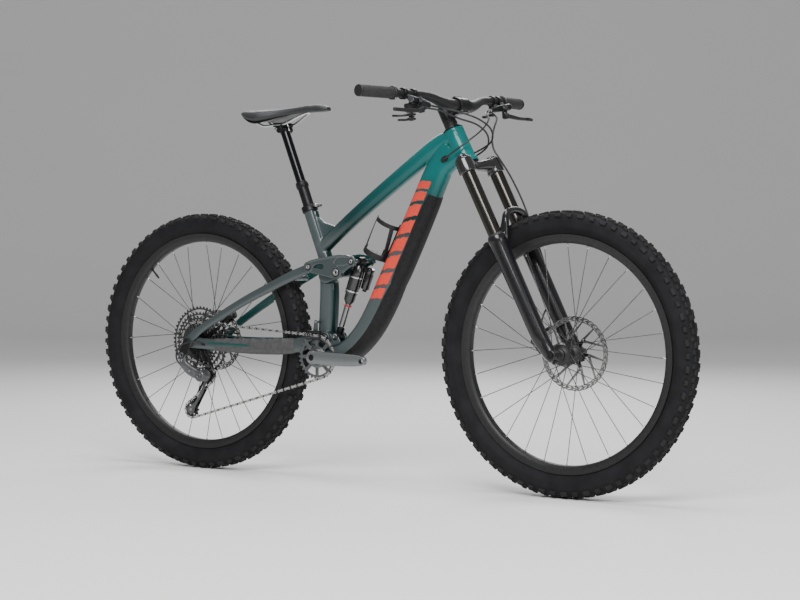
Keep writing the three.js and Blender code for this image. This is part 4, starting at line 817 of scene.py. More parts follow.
def bearings_and_axles():
    top, low = HEAD_TOP, HEAD_BOTTOM
    cups = (
        ("headset_top_cup", "headset_bearing_upper",
         [(28.2, top), (28.4, top + 1.5), (27.4, top + 3), (20, top + 3), (20, top)]),
        ("headset_low_cup", "headset_bearing_lower",
         [(31.6, low), (31, low - 0.8), (24, low - 0.8), (24, low)]),
    )
    for name, replaced, profile in cups:
        piece(name, "frame", [(lathe(profile, S(0, 0, 0), S_UP), BLACK)], [replaced])
    # The bottom bracket's cups have sixteen shallow notches for their tool.
    notched = []
    for i in range(96):
        a = TAU * i / 96
        r = 23 + 0.8 * math.cos(16 * a)
        notched.append((BB.x + r * math.cos(a), BB.z + r * math.sin(a)))
    for side in SIDES:
        cup = plate([notched, circle(BB.x, BB.z, 15, 32)], *span(side, 46, 49.8), 0.4)
        replaced = ["bottom_bracket"] if side < 0 else []
        piece("bracket_cup_" + side_tag(side), "frame", [(cup, BLACK)], replaced)
    pivot_bolt("main_pivot_bolt", MAIN_PIVOT, 43, 9, "frame", ["main_pivot_axle"])
    pivot_bolt("rocker_pivot_bolt", ROCKER_PIVOT, 52, 9.5, "frame", ["rocker_axle"])
    pivot_bolt("stay_pivot_bolt", STAY_PIVOT, 52, 6.5, "seatstay", clear=32)
    pivot_bolt("shock_top_bolt", SHOCK_TOP, 52, 6, "rocker")
    pivot_bolt("shock_foot_bolt", SHOCK_FOOT, 23.4, 8, "frame")


def hex_socket(radius, depth_from, depth_to, head_r, centre, side):
    """The face of a socket bolt: a ring with a hexagon sunk in it, as one plate."""
    loops = [circle(centre.x, centre.z, head_r, 32), circle(centre.x, centre.z, radius, 6)]
    return plate(loops, *span(side, depth_from, depth_to), 0.5)


def pivot_bolt(name, p, half, head_r, body, replaced=(), clear=0):
    """A pivot's axle, with a socket head and a dark washer on each side.

    Half is the distance from the bike's middle to a head's face, and clear to the axle's inner end."""
    parts = []
    washer = [circle(p.x, p.z, head_r + 3, 40), circle(p.x, p.z, head_r - 1, 40)]
    for side in SIDES:
        parts.append((pin(p, *span(side, clear, half - 2), min(5.9, head_r - 2)), BLACK))
        parts.append((hex_socket(head_r * 0.42, half - 3.2, half, head_r, p, side), BOLT))
        parts.append((plate(washer, *span(side, half - 2.6, half - 0.7), 0.4), BLACK))
    piece(name, body, parts, replaced)


def small_bolt(p, out, r=2.6, height=2.4):
    """A button-head bolt standing on a surface: a domed head with a six-sided socket."""
    way = out.normalized()
    side = way.orthogonal().normalized()
    up = way.cross(side)
    dome = ((1, 0), (1, 0.45), (0.86, 0.85), (0.6, 1))
    rings = [ring_points(p + way * (height * h), side, up, r * f, r * f, 24) for f, h in dome]
    for depth, grow in ((height, 0.5), (height * 0.35, 0.46)):
        ring = []
        for k in range(24):
            a = TAU * k / 24
            six = math.cos(math.pi / 6) / math.cos((a % (TAU / 6)) - math.pi / 6)
            radius = r * grow * six
            ring.append(p + way * depth + side * (radius * math.cos(a)) + up * (radius * math.sin(a)))
        rings.append(ring)
    return loft(rings), BOLT


front_frame()
graphic_bars()
cable_ports()
bearings_and_axles()
shell_guard("down_tube_guard_low", 0.5568, 0.93, 3.0, 60)
shell_guard("down_tube_guard_high", 0.309, 0.5558, 2.4, 50)


# ------------------------------------------------------------------ rear triangle

# The right side's stays, as (x, y, z, half height, half width).
CHAINSTAY = [
    (-622, -77, 375, 15, 2.6),
    (-596, -77, 375, 17, 2.7),
    (-560, -74.5, 373, 16, 6),
    (-515, -70.5, 371, 17, 7.5),
    (-450, -65, 370, 19, 7.5),
    (-380, -59, 370, 21, 7.5),
    (-300, -49.5, 372, 22, 7),
    (-250, -43.3, 376, 21, 6),
    (-222, -40.3, 383, 20, 5.5),
    (-190, -37.5, 393, 16, 5.5),
    (-148, -35, 402, 14, 6),
]
SEATSTAY = [
    (-611, -83.2, 376, 12, 2.6),
    (-592, -83, 394, 14, 2.7),
    (-560, -79, 418, 12, 6),
    (-510, -73, 448, 12, 7.5),
    (-416, -62, 500, 13, 8),
    (-330, -50, 542, 14, 8),
    (-268, -42, 571, 15, 8),
    (-225, -33.5, 590, 14, 5.7),
    (-198, -33, 601, 12, 5.7),
]


def mirrored(sections):
    return [(x, -y, z, h, w) for x, y, z, h, w in sections]


def chainstay():
    shapes = [oval_tube(CHAINSTAY, square=0.8), oval_tube(mirrored(CHAINSTAY), square=0.8)]
    shapes += both_sides(MAIN_PIVOT, 28, 41, 16)
    shapes.append(block(V(-216.5, 0, 392), (27, 84, 28), 4))
    shapes += both_sides(REAR_AXLE, 74.6, 79.6, 17)
    casting("chainstay_body", "swingarm", shapes, STAY, ["chainstay"], 1.7, 4, 0.8)


def seatstay():
    bridge_at = V(STAY_PIVOT.x - 68, 0, STAY_PIVOT.z - 34)
    shapes = [oval_tube(SEATSTAY, square=0.85), oval_tube(mirrored(SEATSTAY), square=0.85)]
    shapes.append(pin(bridge_at, -42, 42, 7.5))
    shapes += both_sides(REAR_AXLE, 80.4, 86, 15)
    shapes += both_sides(STAY_PIVOT, 27.5, 39, 13)
    casting("seatstay_body", "seatstay", shapes, STAY, ["seatstay"], 1.7, 4, 0.8)


def chainstay_guard():
    """A soft cover over the drive-side chainstay, ribbed along its top against the chain."""
    steps, cover, ribs, rib_height = 80, 1.1, 9, 1.2
    covered = [(x, y, z, h + 0.2, w + 0.2) for x, y, z, h, w in CHAINSTAY[3:8]]
    smooth = catmull(covered, steps)
    centres = [V(*s[:3]) for s in smooth]
    rings = []
    for i, (p, way, s) in enumerate(zip(centres, along_path(centres), smooth)):
        across = (Y - way * way.y).normalized()
        up = way.cross(across)
        if up.z < 0:
            up = -up
        rib = rib_height * max(0, math.sin(i / steps * TAU * ribs)) ** 2 if 8 < i < 72 else 0
        ring = []
        ends = min(1, 0.25 + min(i, steps - i) / 6)
        for k in range(32):
            a = k / 32 * TAU
            top = max(0, math.cos(a))
            lift = ends * (cover + rib * top)
            high = up * ((s[3] + lift) * power(math.cos(a), 0.8))
            wide = across * ((s[4] + lift) * power(math.sin(a), 0.8))
            ring.append(p + high + wide)
        rings.append(ring)
    window = [(-540, -80.3, 374, 1.5, 0.8), (-515, -79.3, 374, 3.6, 1.0), (-450, -73.9, 373, 4.2, 1.0),
              (-405, -70.1, 372, 3.4, 1.0), (-388, -68.6, 371, 1, 0.8)]
    strip = oval_tube(window, sides=16, square=0.9, steps=30)
    piece("chainstay_guard", "swingarm", [(loft(rings), STAY_GUARD), (strip, GREEN)], angle=40)


# The rocker's arched top from the side, and its two windows.
ROCKER_ARCH = [(-208, 602), (-203, 613), (-183, 621), (-151, 628), (-116, 633), (-88, 637), (-68, 637),
               (-48, 632), (-35, 612), (-85, 584), (-102, 587)]
ROCKER_WINDOWS = [
    [(-182, 600), (-172, 607), (-160, 611), (-148, 611), (-143, 604), (-150, 595), (-166, 589), (-178, 591)],
    [(-108, 614), (-97, 626), (-78, 629), (-61, 626), (-56, 617), (-64, 608), (-78, 604), (-98, 605)],
]
ROCKER_RIB = [
    (-208, 600), (-198, 614), (-170, 622), (-130, 629), (-88, 634), (-60, 632), (-40, 625), (-35, 612),
]


def rocker():
    rear, middle, front = ((p.x, p.z) for p in (STAY_PIVOT, ROCKER_PIVOT, SHOCK_TOP))
    for side in SIDES:
        y = span(side, 40, 50)
        shapes = [
            plate([link_outline(rear, 15, middle, 19), ROCKER_WINDOWS[0]], *y, 2),
            plate([link_outline(middle, 19, front, 16), ROCKER_WINDOWS[1]], *y, 2),
            plate([ROCKER_ARCH, *ROCKER_WINDOWS], *y, 2),
            tube([V(x, side * 49.3, z) for x, z in ROCKER_RIB], 2.6, 12),
        ]
        for p, r in ((STAY_PIVOT, 15), (ROCKER_PIVOT, 18), (SHOCK_TOP, 14)):
            boss = ring_profile([(r - 5, 46), (r, 46), (r, 50.2), (r - 1, 51), (r - 5, 51)])
            shapes.append(upright(boss, p, 40, side))
        for p, r, inner in ((ROCKER_PIVOT, 13, 32.4), (SHOCK_TOP, 6, 13), (STAY_PIVOT, 13, 39.4)):
            shapes.append(pin(p, *span(side, inner, 41), r))
        if side < 0:
            # One cross bar joins the two cheeks, and belongs to the right one.
            shapes.append(pin(V(-76, 0, 616), -41, 41, 6))
        replaced = ["rocker"] if side < 0 else []
        casting("rocker_cheek_" + side_tag(side), "rocker", shapes, STAY, replaced, 1.1, 2, 0.7)
        # Dark green plates sunk in the windows are painted shade: they stand for the shaded inside seen
        # through them.
        shade_floors = [(plate([w], *span(side, 41.5, 44.5), 0.4), WINDOW_SHADE) for w in ROCKER_WINDOWS]
        piece("rocker_window_shade_" + side_tag(side), "rocker", shade_floors)


STAY_GUARD = speckled("stay_guard_rubber", (0.040, 0.040, 0.042), (0.062, 0.062, 0.064), (0.5, 0.65),
                      0.0, grain=700.0, bumpy=0.25, depth=0.0004)
GREEN = speckled("green_inlay", (0.001, 0.040, 0.036), (0.002, 0.058, 0.053), (0.3, 0.42), 0.0, grain=900.0)
# Painted shade: the dark green of the plates in the rocker's windows, where only shade would show.
WINDOW_SHADE = speckled("painted_window_shade", (0.001, 0.024, 0.022), (0.002, 0.036, 0.033), (0.14, 0.22), 0.0,
                 grain=900.0, Coat_Weight=0.6)
chainstay()
seatstay()
chainstay_guard()
rocker()


# ------------------------------------------------------------------ shock


def shock():
    top = K(0, 0, 0)
    can = [
        (9.5, 128), (9.6, 123.5), (12.4, 123.5), (12.5, 119.5), (15.6, 119), (16.4, 112), (17, 97),
        (18.6, 96), (19, 94), (19, 84), (18.4, 83.6), (18.4, 82), (19, 81.6), (19, 40), (18.4, 39.6),
        (18.4, 38), (19, 37.6), (19, 28), (17.5, 24), (12.4, 12), (9, 8),
    ]
    body = [
        (lathe(can[::-1], top, K_DOWN, 56), GLOSS_BLACK),
        (rod(K(0, -12.5, 0), K(0, 12.5, 0), 12), BLACK),
    ]
    piece("shock_can", "shock_body", body, ["shock_body"])
    bands = []
    for low in (44, 86):
        high = low + 4
        ring = ring_profile([
            (19.1, low), (19.35, low + 0.6), (19.35, low + 3.4), (19.1, high), (18, high), (18, low),
        ])
        bands.append((lathe(ring, top, K_DOWN, 56), SILVER))
    piece("shock_bands", "shock_body", bands)
    tank = [
        (2, 76.4), (9, 76.4), (12.4, 74.5), (13, 72), (13, 30), (12.4, 29), (12.4, 27), (13, 26), (13, 17),
        (11.5, 14), (2, 14),
    ]
    tank_at = K(25, -22, 0)
    neck = block(ORIGIN, (28, 24, 12), 3)
    parts = [
        (lathe(tank[::-1], tank_at, K_DOWN, 48), GLOSS_BLACK),
        (place(neck, SHOCK @ Matrix.Translation(V(12, -12, 20))), BLACK),
    ]
    piece("shock_reservoir", "shock_body", parts)
    cap = [(0.5, 82), (5.5, 82), (6.5, 81), (6.5, 76.6), (5, 76.2), (0.5, 76.2)]
    piece("shock_valve_cap", "shock_body", [(lathe(cap[::-1], tank_at, K_DOWN, 32), BLACK)])
    shaft = [(9, 130), (9, SHOCK_LENGTH - 30)]
    foot = [(10.8, SHOCK_LENGTH - 28), (11, SHOCK_LENGTH - 12), (9, SHOCK_LENGTH - 8)]
    parts = [
        (lathe(shaft, top, K_DOWN, 48), SHAFT),
        (lathe(foot, top, K_DOWN, 48), BLACK),
        (rod(K(0, -12.5, SHOCK_LENGTH), K(0, 12.5, SHOCK_LENGTH), 11.5), BLACK),
        (rod(K(0, 0, 98), K(0, 0, 131), 9, sides=48), SHAFT),
    ]
    piece("shock_rod", "shock_shaft", parts, ["shock_shaft"])
    ring = ring_profile([(9.1, 131), (12, 131.4), (12.3, 134.6), (9.1, 135.4)])
    piece("shock_travel_ring", "shock_shaft", [(lathe(ring, top, K_DOWN, 40), RED)])


SHAFT = brushed("dark_shaft", (0.16, 0.16, 0.165), (0.30, 0.30, 0.305), (0.14, 0.24), (1, 1, 20), 0.9)
shock()


# ------------------------------------------------------------------ wheels


def tyre(axle, r, width, name, node_name, body, lugs):
    """A casing with its tread of rubber blocks; its section is given as (radius, half width)."""
    # The outer blocks reach past the casing, and the middle ones stand on its top.
    block_reach, tread_depth = 1.2, 4
    w = width / 2 - block_reach
    top = r - tread_depth
    half = [
        (311, 13.2), (318, 14.2), (326, 21), (336, w - 1.2), (348, w), (358, w - 1), (top - 4, w * 0.74),
        (top, w * 0.3), (top + 0.4, 0),
    ]
    outside = catmull(half, 40)
    inside = [(top - 4, 0), (top - 7, w * 0.5), (350, w - 5), (336, w - 6), (322, 13), (311, 10.5)]
    profile = outside + [(a, -b) for a, b in reversed(outside[:-1])]
    profile += [(a, -b) for a, b in reversed(inside)] + inside[1:] + [profile[0]]
    piece(name + "_casing", body, [(upright(profile, axle, 120), WALL)], [node_name], angle=50)
    rows = []
    for i in range(lugs):
        a = i / lugs * TAU
        step = TAU / lugs
        wide = i % 2
        for side in SIDES:
            # Centre blocks in pairs, a middle row between them, and the shoulder blocks, each as
            # (angle, y, length, width, height).
            rows.append((a + step * 0.1, side * (5.4 if wide else 8.8), 15, 8, 4.6))
            rows.append((a + step * 0.55, side * (16 if wide else 14.6), 12.5, 7, 4.8))
            rows.append((a + step * 0.3, side * (w - 3.8), 18 if wide else 14, 10, 7.2))
    tread = [(lug_block(axle, *row, outside, r), TREAD) for row in rows]
    piece(name + "_tread", body, tread, angle=25)


def casing_at(outside, y):
    """Radius and outward slope of the casing's profile at a distance from its middle."""
    side = abs(y)
    for (r0, y0), (r1, y1) in zip(outside, outside[1:]):
        if y1 <= side <= y0 and r0 > TREAD_FROM:
            f = (side - y0) / (y1 - y0)
            return r0 + (r1 - r0) * f, math.atan2(-(y1 - y0), r1 - r0)
    return outside[-1][0], math.pi / 2


def lug_block(axle, a, y, length, across, tall, outside, r):
    """One tread block: a chamfered box that stands square on the casing."""
    radius, slope = casing_at(outside, y)
    tangent = V(-math.sin(a), 0, math.cos(a))
    radial = V(math.cos(a), 0, math.sin(a))
    lean = math.pi / 2 - slope if abs(y) > 3 else 0
    sign = 1 if y > 0 else -1
    up = radial * math.cos(lean) + V(0, sign * math.sin(lean), 0)
    cross = tangent.cross(up)
    base = axle + radial * radius + V(0, y, 0)
    room = (r - 0.2 - radius) / max(math.cos(lean), 0.2)
    tall = min(tall, max(2.6, room))
    rings = []
    for h, inset in ((-2.5, -0.6), (tall - 1.0, 0.35), (tall, 1.1)):
        ring = []
        for sx, sy in ((1, 1), (-1, 1), (-1, -1), (1, -1)):
            u = sx * (length / 2 - inset)
            v = sy * (across / 2 - inset)
            ring.append(base + up * h + tangent * u + cross * v)
        rings.append(ring)
    return loft(rings)


def rim(axle, name, node_name, body):
    half = [
        (293, 0), (293.2, 6), (294.5, 10), (298, 13.2), (304, 15.4), (309, 16.2), (314, 16.8), (317, 17.4),
        (317.5, 16.9), (317.3, 14.6), (313.5, 14.2), (309.6, 14.0), (308.8, 12.5), (308.8, 4), (306, 0),
    ]
    profile = ring_profile(half + [(a, -b) for a, b in reversed(half[1:-1])])
    piece(name, body, [(upright(profile, axle, 128), SATIN_BLACK)], [node_name], angle=30)


def spoke_lines(axle, flange_r, left_y, right_y):
    """The two ends of each spoke, crossed on both sides."""
    lines = []
    for i in range(SPOKES):
        y = left_y if i % 2 else right_y
        lean = 1 if i % 4 < 2 else -1
        rim_angle = i / SPOKES * TAU
        hub_angle = rim_angle + lean * 1.25
        start = axle + V(flange_r * math.cos(hub_angle), y, flange_r * math.sin(hub_angle))
        rim_y = 3.5 if y > 0 else -3.5
        end = axle + V(RIM_BED * math.cos(rim_angle), rim_y, RIM_BED * math.sin(rim_angle))
        lines.append((start, end))
    return lines


def spokes(axle, flange_r, left_y, right_y, name, body):
    wire_r, elbow_r, wires, nipples = 1.05, 1.3, [], []
    for start, end in spoke_lines(axle, flange_r, left_y, right_y):
        way = (end - start).normalized()
        wires.append((rod(start, end, wire_r, sides=8, edge=0.1), SPOKE))
        side = 1 if start.y > 0 else -1
        elbow = start + V(0, -side * 1.8, 0)
        wires.append((rod(start + V(0, side * 1.2, 0), elbow, elbow_r, sides=8, edge=0.3), SPOKE))
        nipples.append((rod(end - way * 9, end + way * 1.5, 1.9, 2.1, 8, 0.4), SILVER))
    piece(name + "_spokes", body, wires, angle=50)
    piece(name + "_nipples", body, nipples, angle=50)


def valve(axle, name, body, angle):
    way = V(math.cos(angle), 0, math.sin(angle))
    base = axle + way * RIM_BED
    parts = [
        (rod(base, base - way * 26, 3, sides=16), BLACK),
        (rod(base - way * 1, base - way * 4, 4.5, sides=6), BLACK),
        (rod(base - way * 24, base - way * 38, 3.8, 2.6, 16), BLACK),
    ]
    piece(name + "_valve", body, parts)


# The hubs' sections: (radius, y).
FRONT_HUB = [
    (8.3, -54.4), (13, -54.4), (13.6, -53), (13.6, -46), (17, -44), (17, -36), (20, -33.5),
    (27.6, -31.6), (28, -30.6), (28, -28.4), (27.6, -27.6), (20, -26), (16, -20), (14.5, -8),
    (14.5, 4), (17, 14), (22, 19), (27.6, 21), (28, 21.8), (28, 24), (27.6, 24.8), (23, 27), (20, 30),
    (20, 38), (24, 40), (24, 43.2), (14, 43.4), (14, 53), (13, 54.4), (8.3, 54.4), (8.3, -54.4),
]
REAR_HUB = [
    (7, -20), (20, -20), (24, -19.4), (29.6, -18), (30, -17.2), (30, -14.6), (29.6, -13.8), (22, -11),
    (18, -4), (16.5, 8), (17.5, 22), (22, 30), (29.6, 32.4), (30, 33.2), (30, 36), (29.6, 36.8),
    (23, 39), (20, 42), (20, 49), (24, 51), (24, 54), (15, 54.3), (15, 72), (14, 73.4), (7, 73.4), (7, -20),
]


def hub(profile, axle, wheel):
    """A hub's turned shell, from flange to flange; wheel is "front" or "rear"."""
    shell = upright(profile, axle, 64)
    piece(wheel + "_hub_shell", wheel + "_wheel", [(shell, SATIN_BLACK)], [wheel + "_hub"], angle=30)


def polar(cx, cz, r, a):
    return cx + r * math.cos(a), cz + r * math.sin(a)


def meets_circle(p, way, r):
    """Where a line from p, inside a circle about the origin, leaves it."""
    along = p[0] * way[0] + p[1] * way[1]
    t = -along + math.sqrt(along * along - (p[0] ** 2 + p[1] ** 2 - r * r))
    return p[0] + way[0] * t, p[1] + way[1] * t


def rotor_arms(r, foot, first):
    """The windows inside each pair of arms, and the one star-shaped opening round them."""
    # Inner radius of the braking ring, half an arm's width, the number of pairs of arms, and how
    # far the openings keep clear of an arm's foot, inside and outside a pair.
    ring, half, pairs, clear_inside, clear_outside = r - 14, 2.3, 6, 1.5, 5.2
    windows, star = [], []
    for k in range(pairs):
        a = first - k * TAU / pairs
        p = polar(0, 0, foot, a)
        edges = []
        for end, inward in ((a - 0.10, -1), (a - 0.70, 1)):
            q = polar(0, 0, ring, end)
            length = math.hypot(q[0] - p[0], q[1] - p[1])
            way = ((q[0] - p[0]) / length, (q[1] - p[1]) / length)
            n = (-way[1] * inward * half, way[0] * inward * half)
            inner = meets_circle((p[0] + n[0], p[1] + n[1]), way, ring)
            outer = meets_circle((p[0] - n[0], p[1] - n[1]), way, ring)
            edges.append((way, n, inner, outer))
        (way0, n0, in0, out0), (way1, n1, in1, out1) = edges
        split = half / math.sin(math.acos(way0[0] * way1[0] + way0[1] * way1[1]) / 2)
        mid = math.atan2(way0[1] + way1[1], way0[0] + way1[0])
        apex = polar(*p, split + clear_inside, mid)
        b0, b1 = math.atan2(in0[1], in0[0]), math.atan2(in1[1], in1[0])
        sweep = (b1 - b0 + math.pi) % TAU - math.pi
        windows.append([apex] + [polar(0, 0, ring, b0 + sweep * j / 8) for j in range(9)])
        star.append((p, n0, n1, out0, out1))
    outline = []
    for k, (p, n0, n1, out0, out1) in enumerate(star):
        before = star[k - 1][4]
        b0, b1 = math.atan2(before[1], before[0]), math.atan2(out0[1], out0[0])
        sweep = (b1 - b0 + math.pi) % TAU - math.pi
        outline += [polar(0, 0, ring, b0 + sweep * j / 8) for j in range(9)]
        t0, t1 = math.atan2(-n0[1], -n0[0]), math.atan2(-n1[1], -n1[0])
        turn = (t1 - t0) % TAU
        outline += [polar(*p, clear_outside, t0 + 0.5 + (turn - 1) * j / 6) for j in range(7)]
    return [*windows, outline]


def rotor(axle, r, y, name, node_name, body):
    """A slotted braking ring on six pairs of swept arms, riveted to a black spider."""
    cx, cz = axle.x, axle.z
    foot, first, slots, wave = r * 0.43, 2.02, 36, 0.5
    outline = []
    for i in range(slots * 8):
        a = TAU * i / (slots * 8)
        outline.append(polar(cx, cz, r - wave + wave * math.cos(slots * a), a))
    loops = [outline]
    for i in range(slots):
        a = i / slots * TAU
        for ra, rb, swing in ((r - 3.4, r - 6.6, 0.045), (r - 9, r - 11.4, -0.05)):
            p, q = polar(cx, cz, ra, a - swing), polar(cx, cz, rb, a + swing)
            loops.append(link_outline(p, 0.95, q, 0.95, 5))
    for loop in rotor_arms(r, foot, first):
        loops.append([(cx + x, cz + z) for x, z in loop])
    piece(name, body, [(plate(loops, y - 0.9, y + 0.9, 0.15), ROTOR)], [node_name], angle=25)
    spider = []
    for i in range(144):
        a = TAU * i / 144
        lobe = ((1 + math.cos(6 * (a - first))) / 2) ** 4
        spider.append(polar(cx, cz, 25 + (foot - 22) * lobe, a))
    core = ring_profile([(14.6, y - 1.5), (20.6, y - 1.5), (20.6, y + 1.5), (14.6, y + 1.5)])
    lock = ring_profile([(15.4, y + 1.9), (23, y + 1.9), (23.6, y + 3), (22, y + 5.6), (16, y + 5.6)])
    parts = [
        (plate([spider, circle(cx, cz, 20, 40)], y - 1.7, y + 1.7, 0.4), BLACK),
        (upright(core, axle), BLACK),
        (upright(lock, axle), BLACK),
    ]
    for k in range(6):
        x, z = polar(cx, cz, foot, first - k * TAU / 6)
        parts.append((pin(V(x, 0, z), y - 2.1, y + 2.1, 3.0, 20), BOLT))
    piece(name + "_carrier", body, parts)


def axles():
    """The two thru axles, each with a socket head."""
    head = hex_socket(4.6, 87, 93.8, 10.8, FRONT_AXLE, 1)
    parts = [(head, BLACK), (pin(FRONT_AXLE, -90.8, 88, 7.4), BLACK)]
    piece("front_axle_bolt", "fork_lowers", parts, ["front_axle"])
    head = hex_socket(4.2, 86.7, 89.9, 9.8, REAR_AXLE, 1)
    end = hex_socket(3, 92, 93.8, 5.9, REAR_AXLE, -1)
    parts = [(head, BLACK), (end, BLACK), (pin(REAR_AXLE, -93, 87.6, 5.8), BLACK)]
    piece("rear_axle_bolt", "swingarm", parts, ["rear_axle"])


tyre(FRONT_AXLE, 380, 63, "front", "front_tyre", "front_wheel", 68)
tyre(REAR_AXLE, 376, 60, "rear", "rear_tyre", "rear_wheel", 68)
rim(FRONT_AXLE, "front_rim_hoop", "front_rim", "front_wheel")
rim(REAR_AXLE, "rear_rim_hoop", "rear_rim", "rear_wheel")
spokes(FRONT_AXLE, 25.5, 23, -29.5, "front", "front_wheel")
spokes(REAR_AXLE, 27, 34.5, -16.2, "rear", "rear_wheel")
valve(FRONT_AXLE, "front", "front_wheel", 2.0)
valve(REAR_AXLE, "rear", "rear_wheel", 2.35)
hub(FRONT_HUB, FRONT_AXLE, "front")
hub(REAR_HUB, REAR_AXLE, "rear")
rotor(FRONT_AXLE, 100, 44.5, "front_disc", "front_rotor", "front_wheel")
rotor(REAR_AXLE, 90, 55, "rear_disc", "rear_rotor", "rear_wheel")
axles()


# ------------------------------------------------------------------ drivetrain


def pitch_radius(teeth):
    """Radius of the circle on which a chain's pins lie round a sprocket."""
    return CHAIN_PITCH / 2 / math.sin(math.pi / teeth)


def toothed(cx, cz, teeth, tip=2.6, valley=2.7, phase=0.0):
    """The outline of a sprocket: round valleys for the rollers and blunt tips between them."""
    pitch_r = pitch_radius(teeth)
    out = []
    step = TAU / teeth
    for i in range(teeth):
        a = phase + i * step
        # Parts of a tooth's pitch, and heights above the pitch circle.
        for turn, lift in (
            (-0.5, -valley - 1.0), (-0.38, -valley - 0.55), (-0.26, -0.6), (-0.15, 1.4), (-0.07, tip),
            (0.07, tip), (0.15, 1.4), (0.26, -0.6), (0.38, -valley - 0.55),
        ):
            out.append(polar(cx, cz, pitch_r + lift, a + turn * step))
    return out


def sprocket_window(cx, cz, low, high, start, gap, low_edge, high_edge, skew=0.0):
    """An opening between two spokes of a sprocket; its side at radius low is turned by skew."""
    outer = [(high, start + high_edge + (gap - 2 * high_edge) * j / 8) for j in range(9)]
    first = start + skew + low_edge
    inner = [(low, first + (gap - 2 * low_edge) * j / 5) for j in range(5, -1, -1)]
    return [polar(cx, cz, r, t) for r, t in outer + inner]


def cassette():
    """All cogs from small to large, on a core with a lock ring."""
    parts = []
    x, z = REAR_AXLE.x, REAR_AXLE.z
    # Half a spoke's width, and the distance from the pitch circle in to a cog's rim.
    half_spoke, rim_depth = 3.2, 6.5
    for i, teeth in enumerate(COG_TEETH):
        y = COG_FIRST_Y + i * COG_STEP
        root = pitch_radius(teeth) - rim_depth
        below = pitch_radius(COG_TEETH[i - 1]) - 7 if i > 0 else 16.5
        loops = [toothed(x, z, teeth, phase=i * 0.2)]
        if root - below > 9 or teeth >= 19:
            count = 6 if teeth < 32 else 8
            low = 20 if teeth < 36 else 22
            high = root - 1
            edges = half_spoke / low, half_spoke / high
            for k in range(count):
                start = TAU * k / count + i * 0.05
                loops.append(sprocket_window(x, z, low, high, start, TAU / count, *edges, skew=0.16))
        loops.append(circle(x, z, 16, 32))
        parts.append((plate(loops, y - 0.9, y + 0.9, 0.25), COG))
    core = [(9, -73), (14, -73), (14.5, -72), (16.6, -70), (16.6, -21.5), (15, -20.8), (9, -20.8)]
    parts.append((upright(ring_profile(core), REAR_AXLE), BLACK))
    lock = [(10, -73.4), (13.5, -73.4), (15.8, -71.5), (15.8, -66.5), (10, -66.5)]
    parts.append((upright(ring_profile(lock), REAR_AXLE), SILVER))
    piece("cassette_cogs", "cassette", parts, ["cassette"], angle=25)


def chainring():
    x, z = BB.x, BB.z
    high, low, arms = pitch_radius(CHAINRING_TEETH) - 9.5, 31, 8
    loops = [toothed(x, z, CHAINRING_TEETH, tip=2.9)]
    for k in range(arms):
        loops.append(sprocket_window(x, z, low, high, TAU * k / arms, TAU / arms, 0.17, 0.10))
    loops.append(circle(x, z, 15, 32))
    dish = [(15, -61.4), (22, -61.4), (23, -60.4), (25, -56), (30, -53.4), (30, -50.9), (15, -50.9)]
    parts = [(plate(loops, -53.2, -50.8, 0.35), GREY), (upright(ring_profile(dish), BB), GREY)]
    piece("chainring_plate", "crank", parts, ["chainring"], angle=25)


# Sections of a crank arm: distance along it, y, height, half height and half width.
CRANK_ARM = [
    (-17, 72, 347, 12, 8),
    (-8, 72, 347, 18, 9.5),
    (12, 72.5, 347, 19, 9),
    (60, 76, 345, 18.5, 7.5),
    (120, 79.5, 344, 17.5, 7),
    (160, 81, 344, 15.5, 7),
    (187, 81, 344, 10, 6),
]


def crank(side):
    """A crank arm with its pedal thread and its bolt; the right one carries the spindle."""
    ahead = 1 if side < 0 else -1
    tag = side_tag(side)
    sections = [(BB.x + ahead * a, side * y, z, h, w) for a, y, z, h, w in CRANK_ARM]
    pedal = V(BB.x + ahead * CRANK_LENGTH, 0, 344)
    shapes = [
        oval_tube(sections, square=0.75, sides=36),
        pin(pedal, *span(side, 74.6, 87.8), 13, edge=1.2),
        pin(BB, *span(side, 62.2, 80), 19, edge=1.2),
    ]
    arm = casting("crank_arm_" + tag, "crank", shapes, GREY_CRANK, ["crank_" + tag], 0.9)
    drill(arm, pedal, side, 7.2, 60)
    drill(arm, BB, side, 9.2, 76.5)
    thread = [(6.9, 74.7), (7.6, 74.7), (7.6, 87.6), (6.9, 87.6)]
    bolt = [(2.5, 76), (7.8, 76), (8.6, 77), (8.6, 79.2), (7.8, 79.8), (5.2, 79.8), (4.6, 78.8), (2.5, 78.8)]
    parts = []
    for profile, p, count in ((thread, pedal, 32), (bolt, BB, 40)):
        rows = ring_profile([(r, side * y) for r, y in profile])
        parts.append((upright(rows, p, count), BLACK))
    if side < 0:
        parts.append((pin(BB, -78, 61, 14.4), BLACK))
    piece("crank_bolt_" + tag, "crank", parts)


def drill(obj, p, side, r, depth):
    """Cuts a round hole into an arm from outside, straight across the bike, as far in as depth."""
    cut_away(obj, pin(p, *span(side, depth, 100), r, sides=40, edge=0.1))


GREY_CRANK = speckled("crank_alloy", (0.155, 0.165, 0.168), (0.185, 0.197, 0.200), (0.22, 0.30), 0.6,
                      grain=3500.0, bumpy=0.02, depth=0.0001)


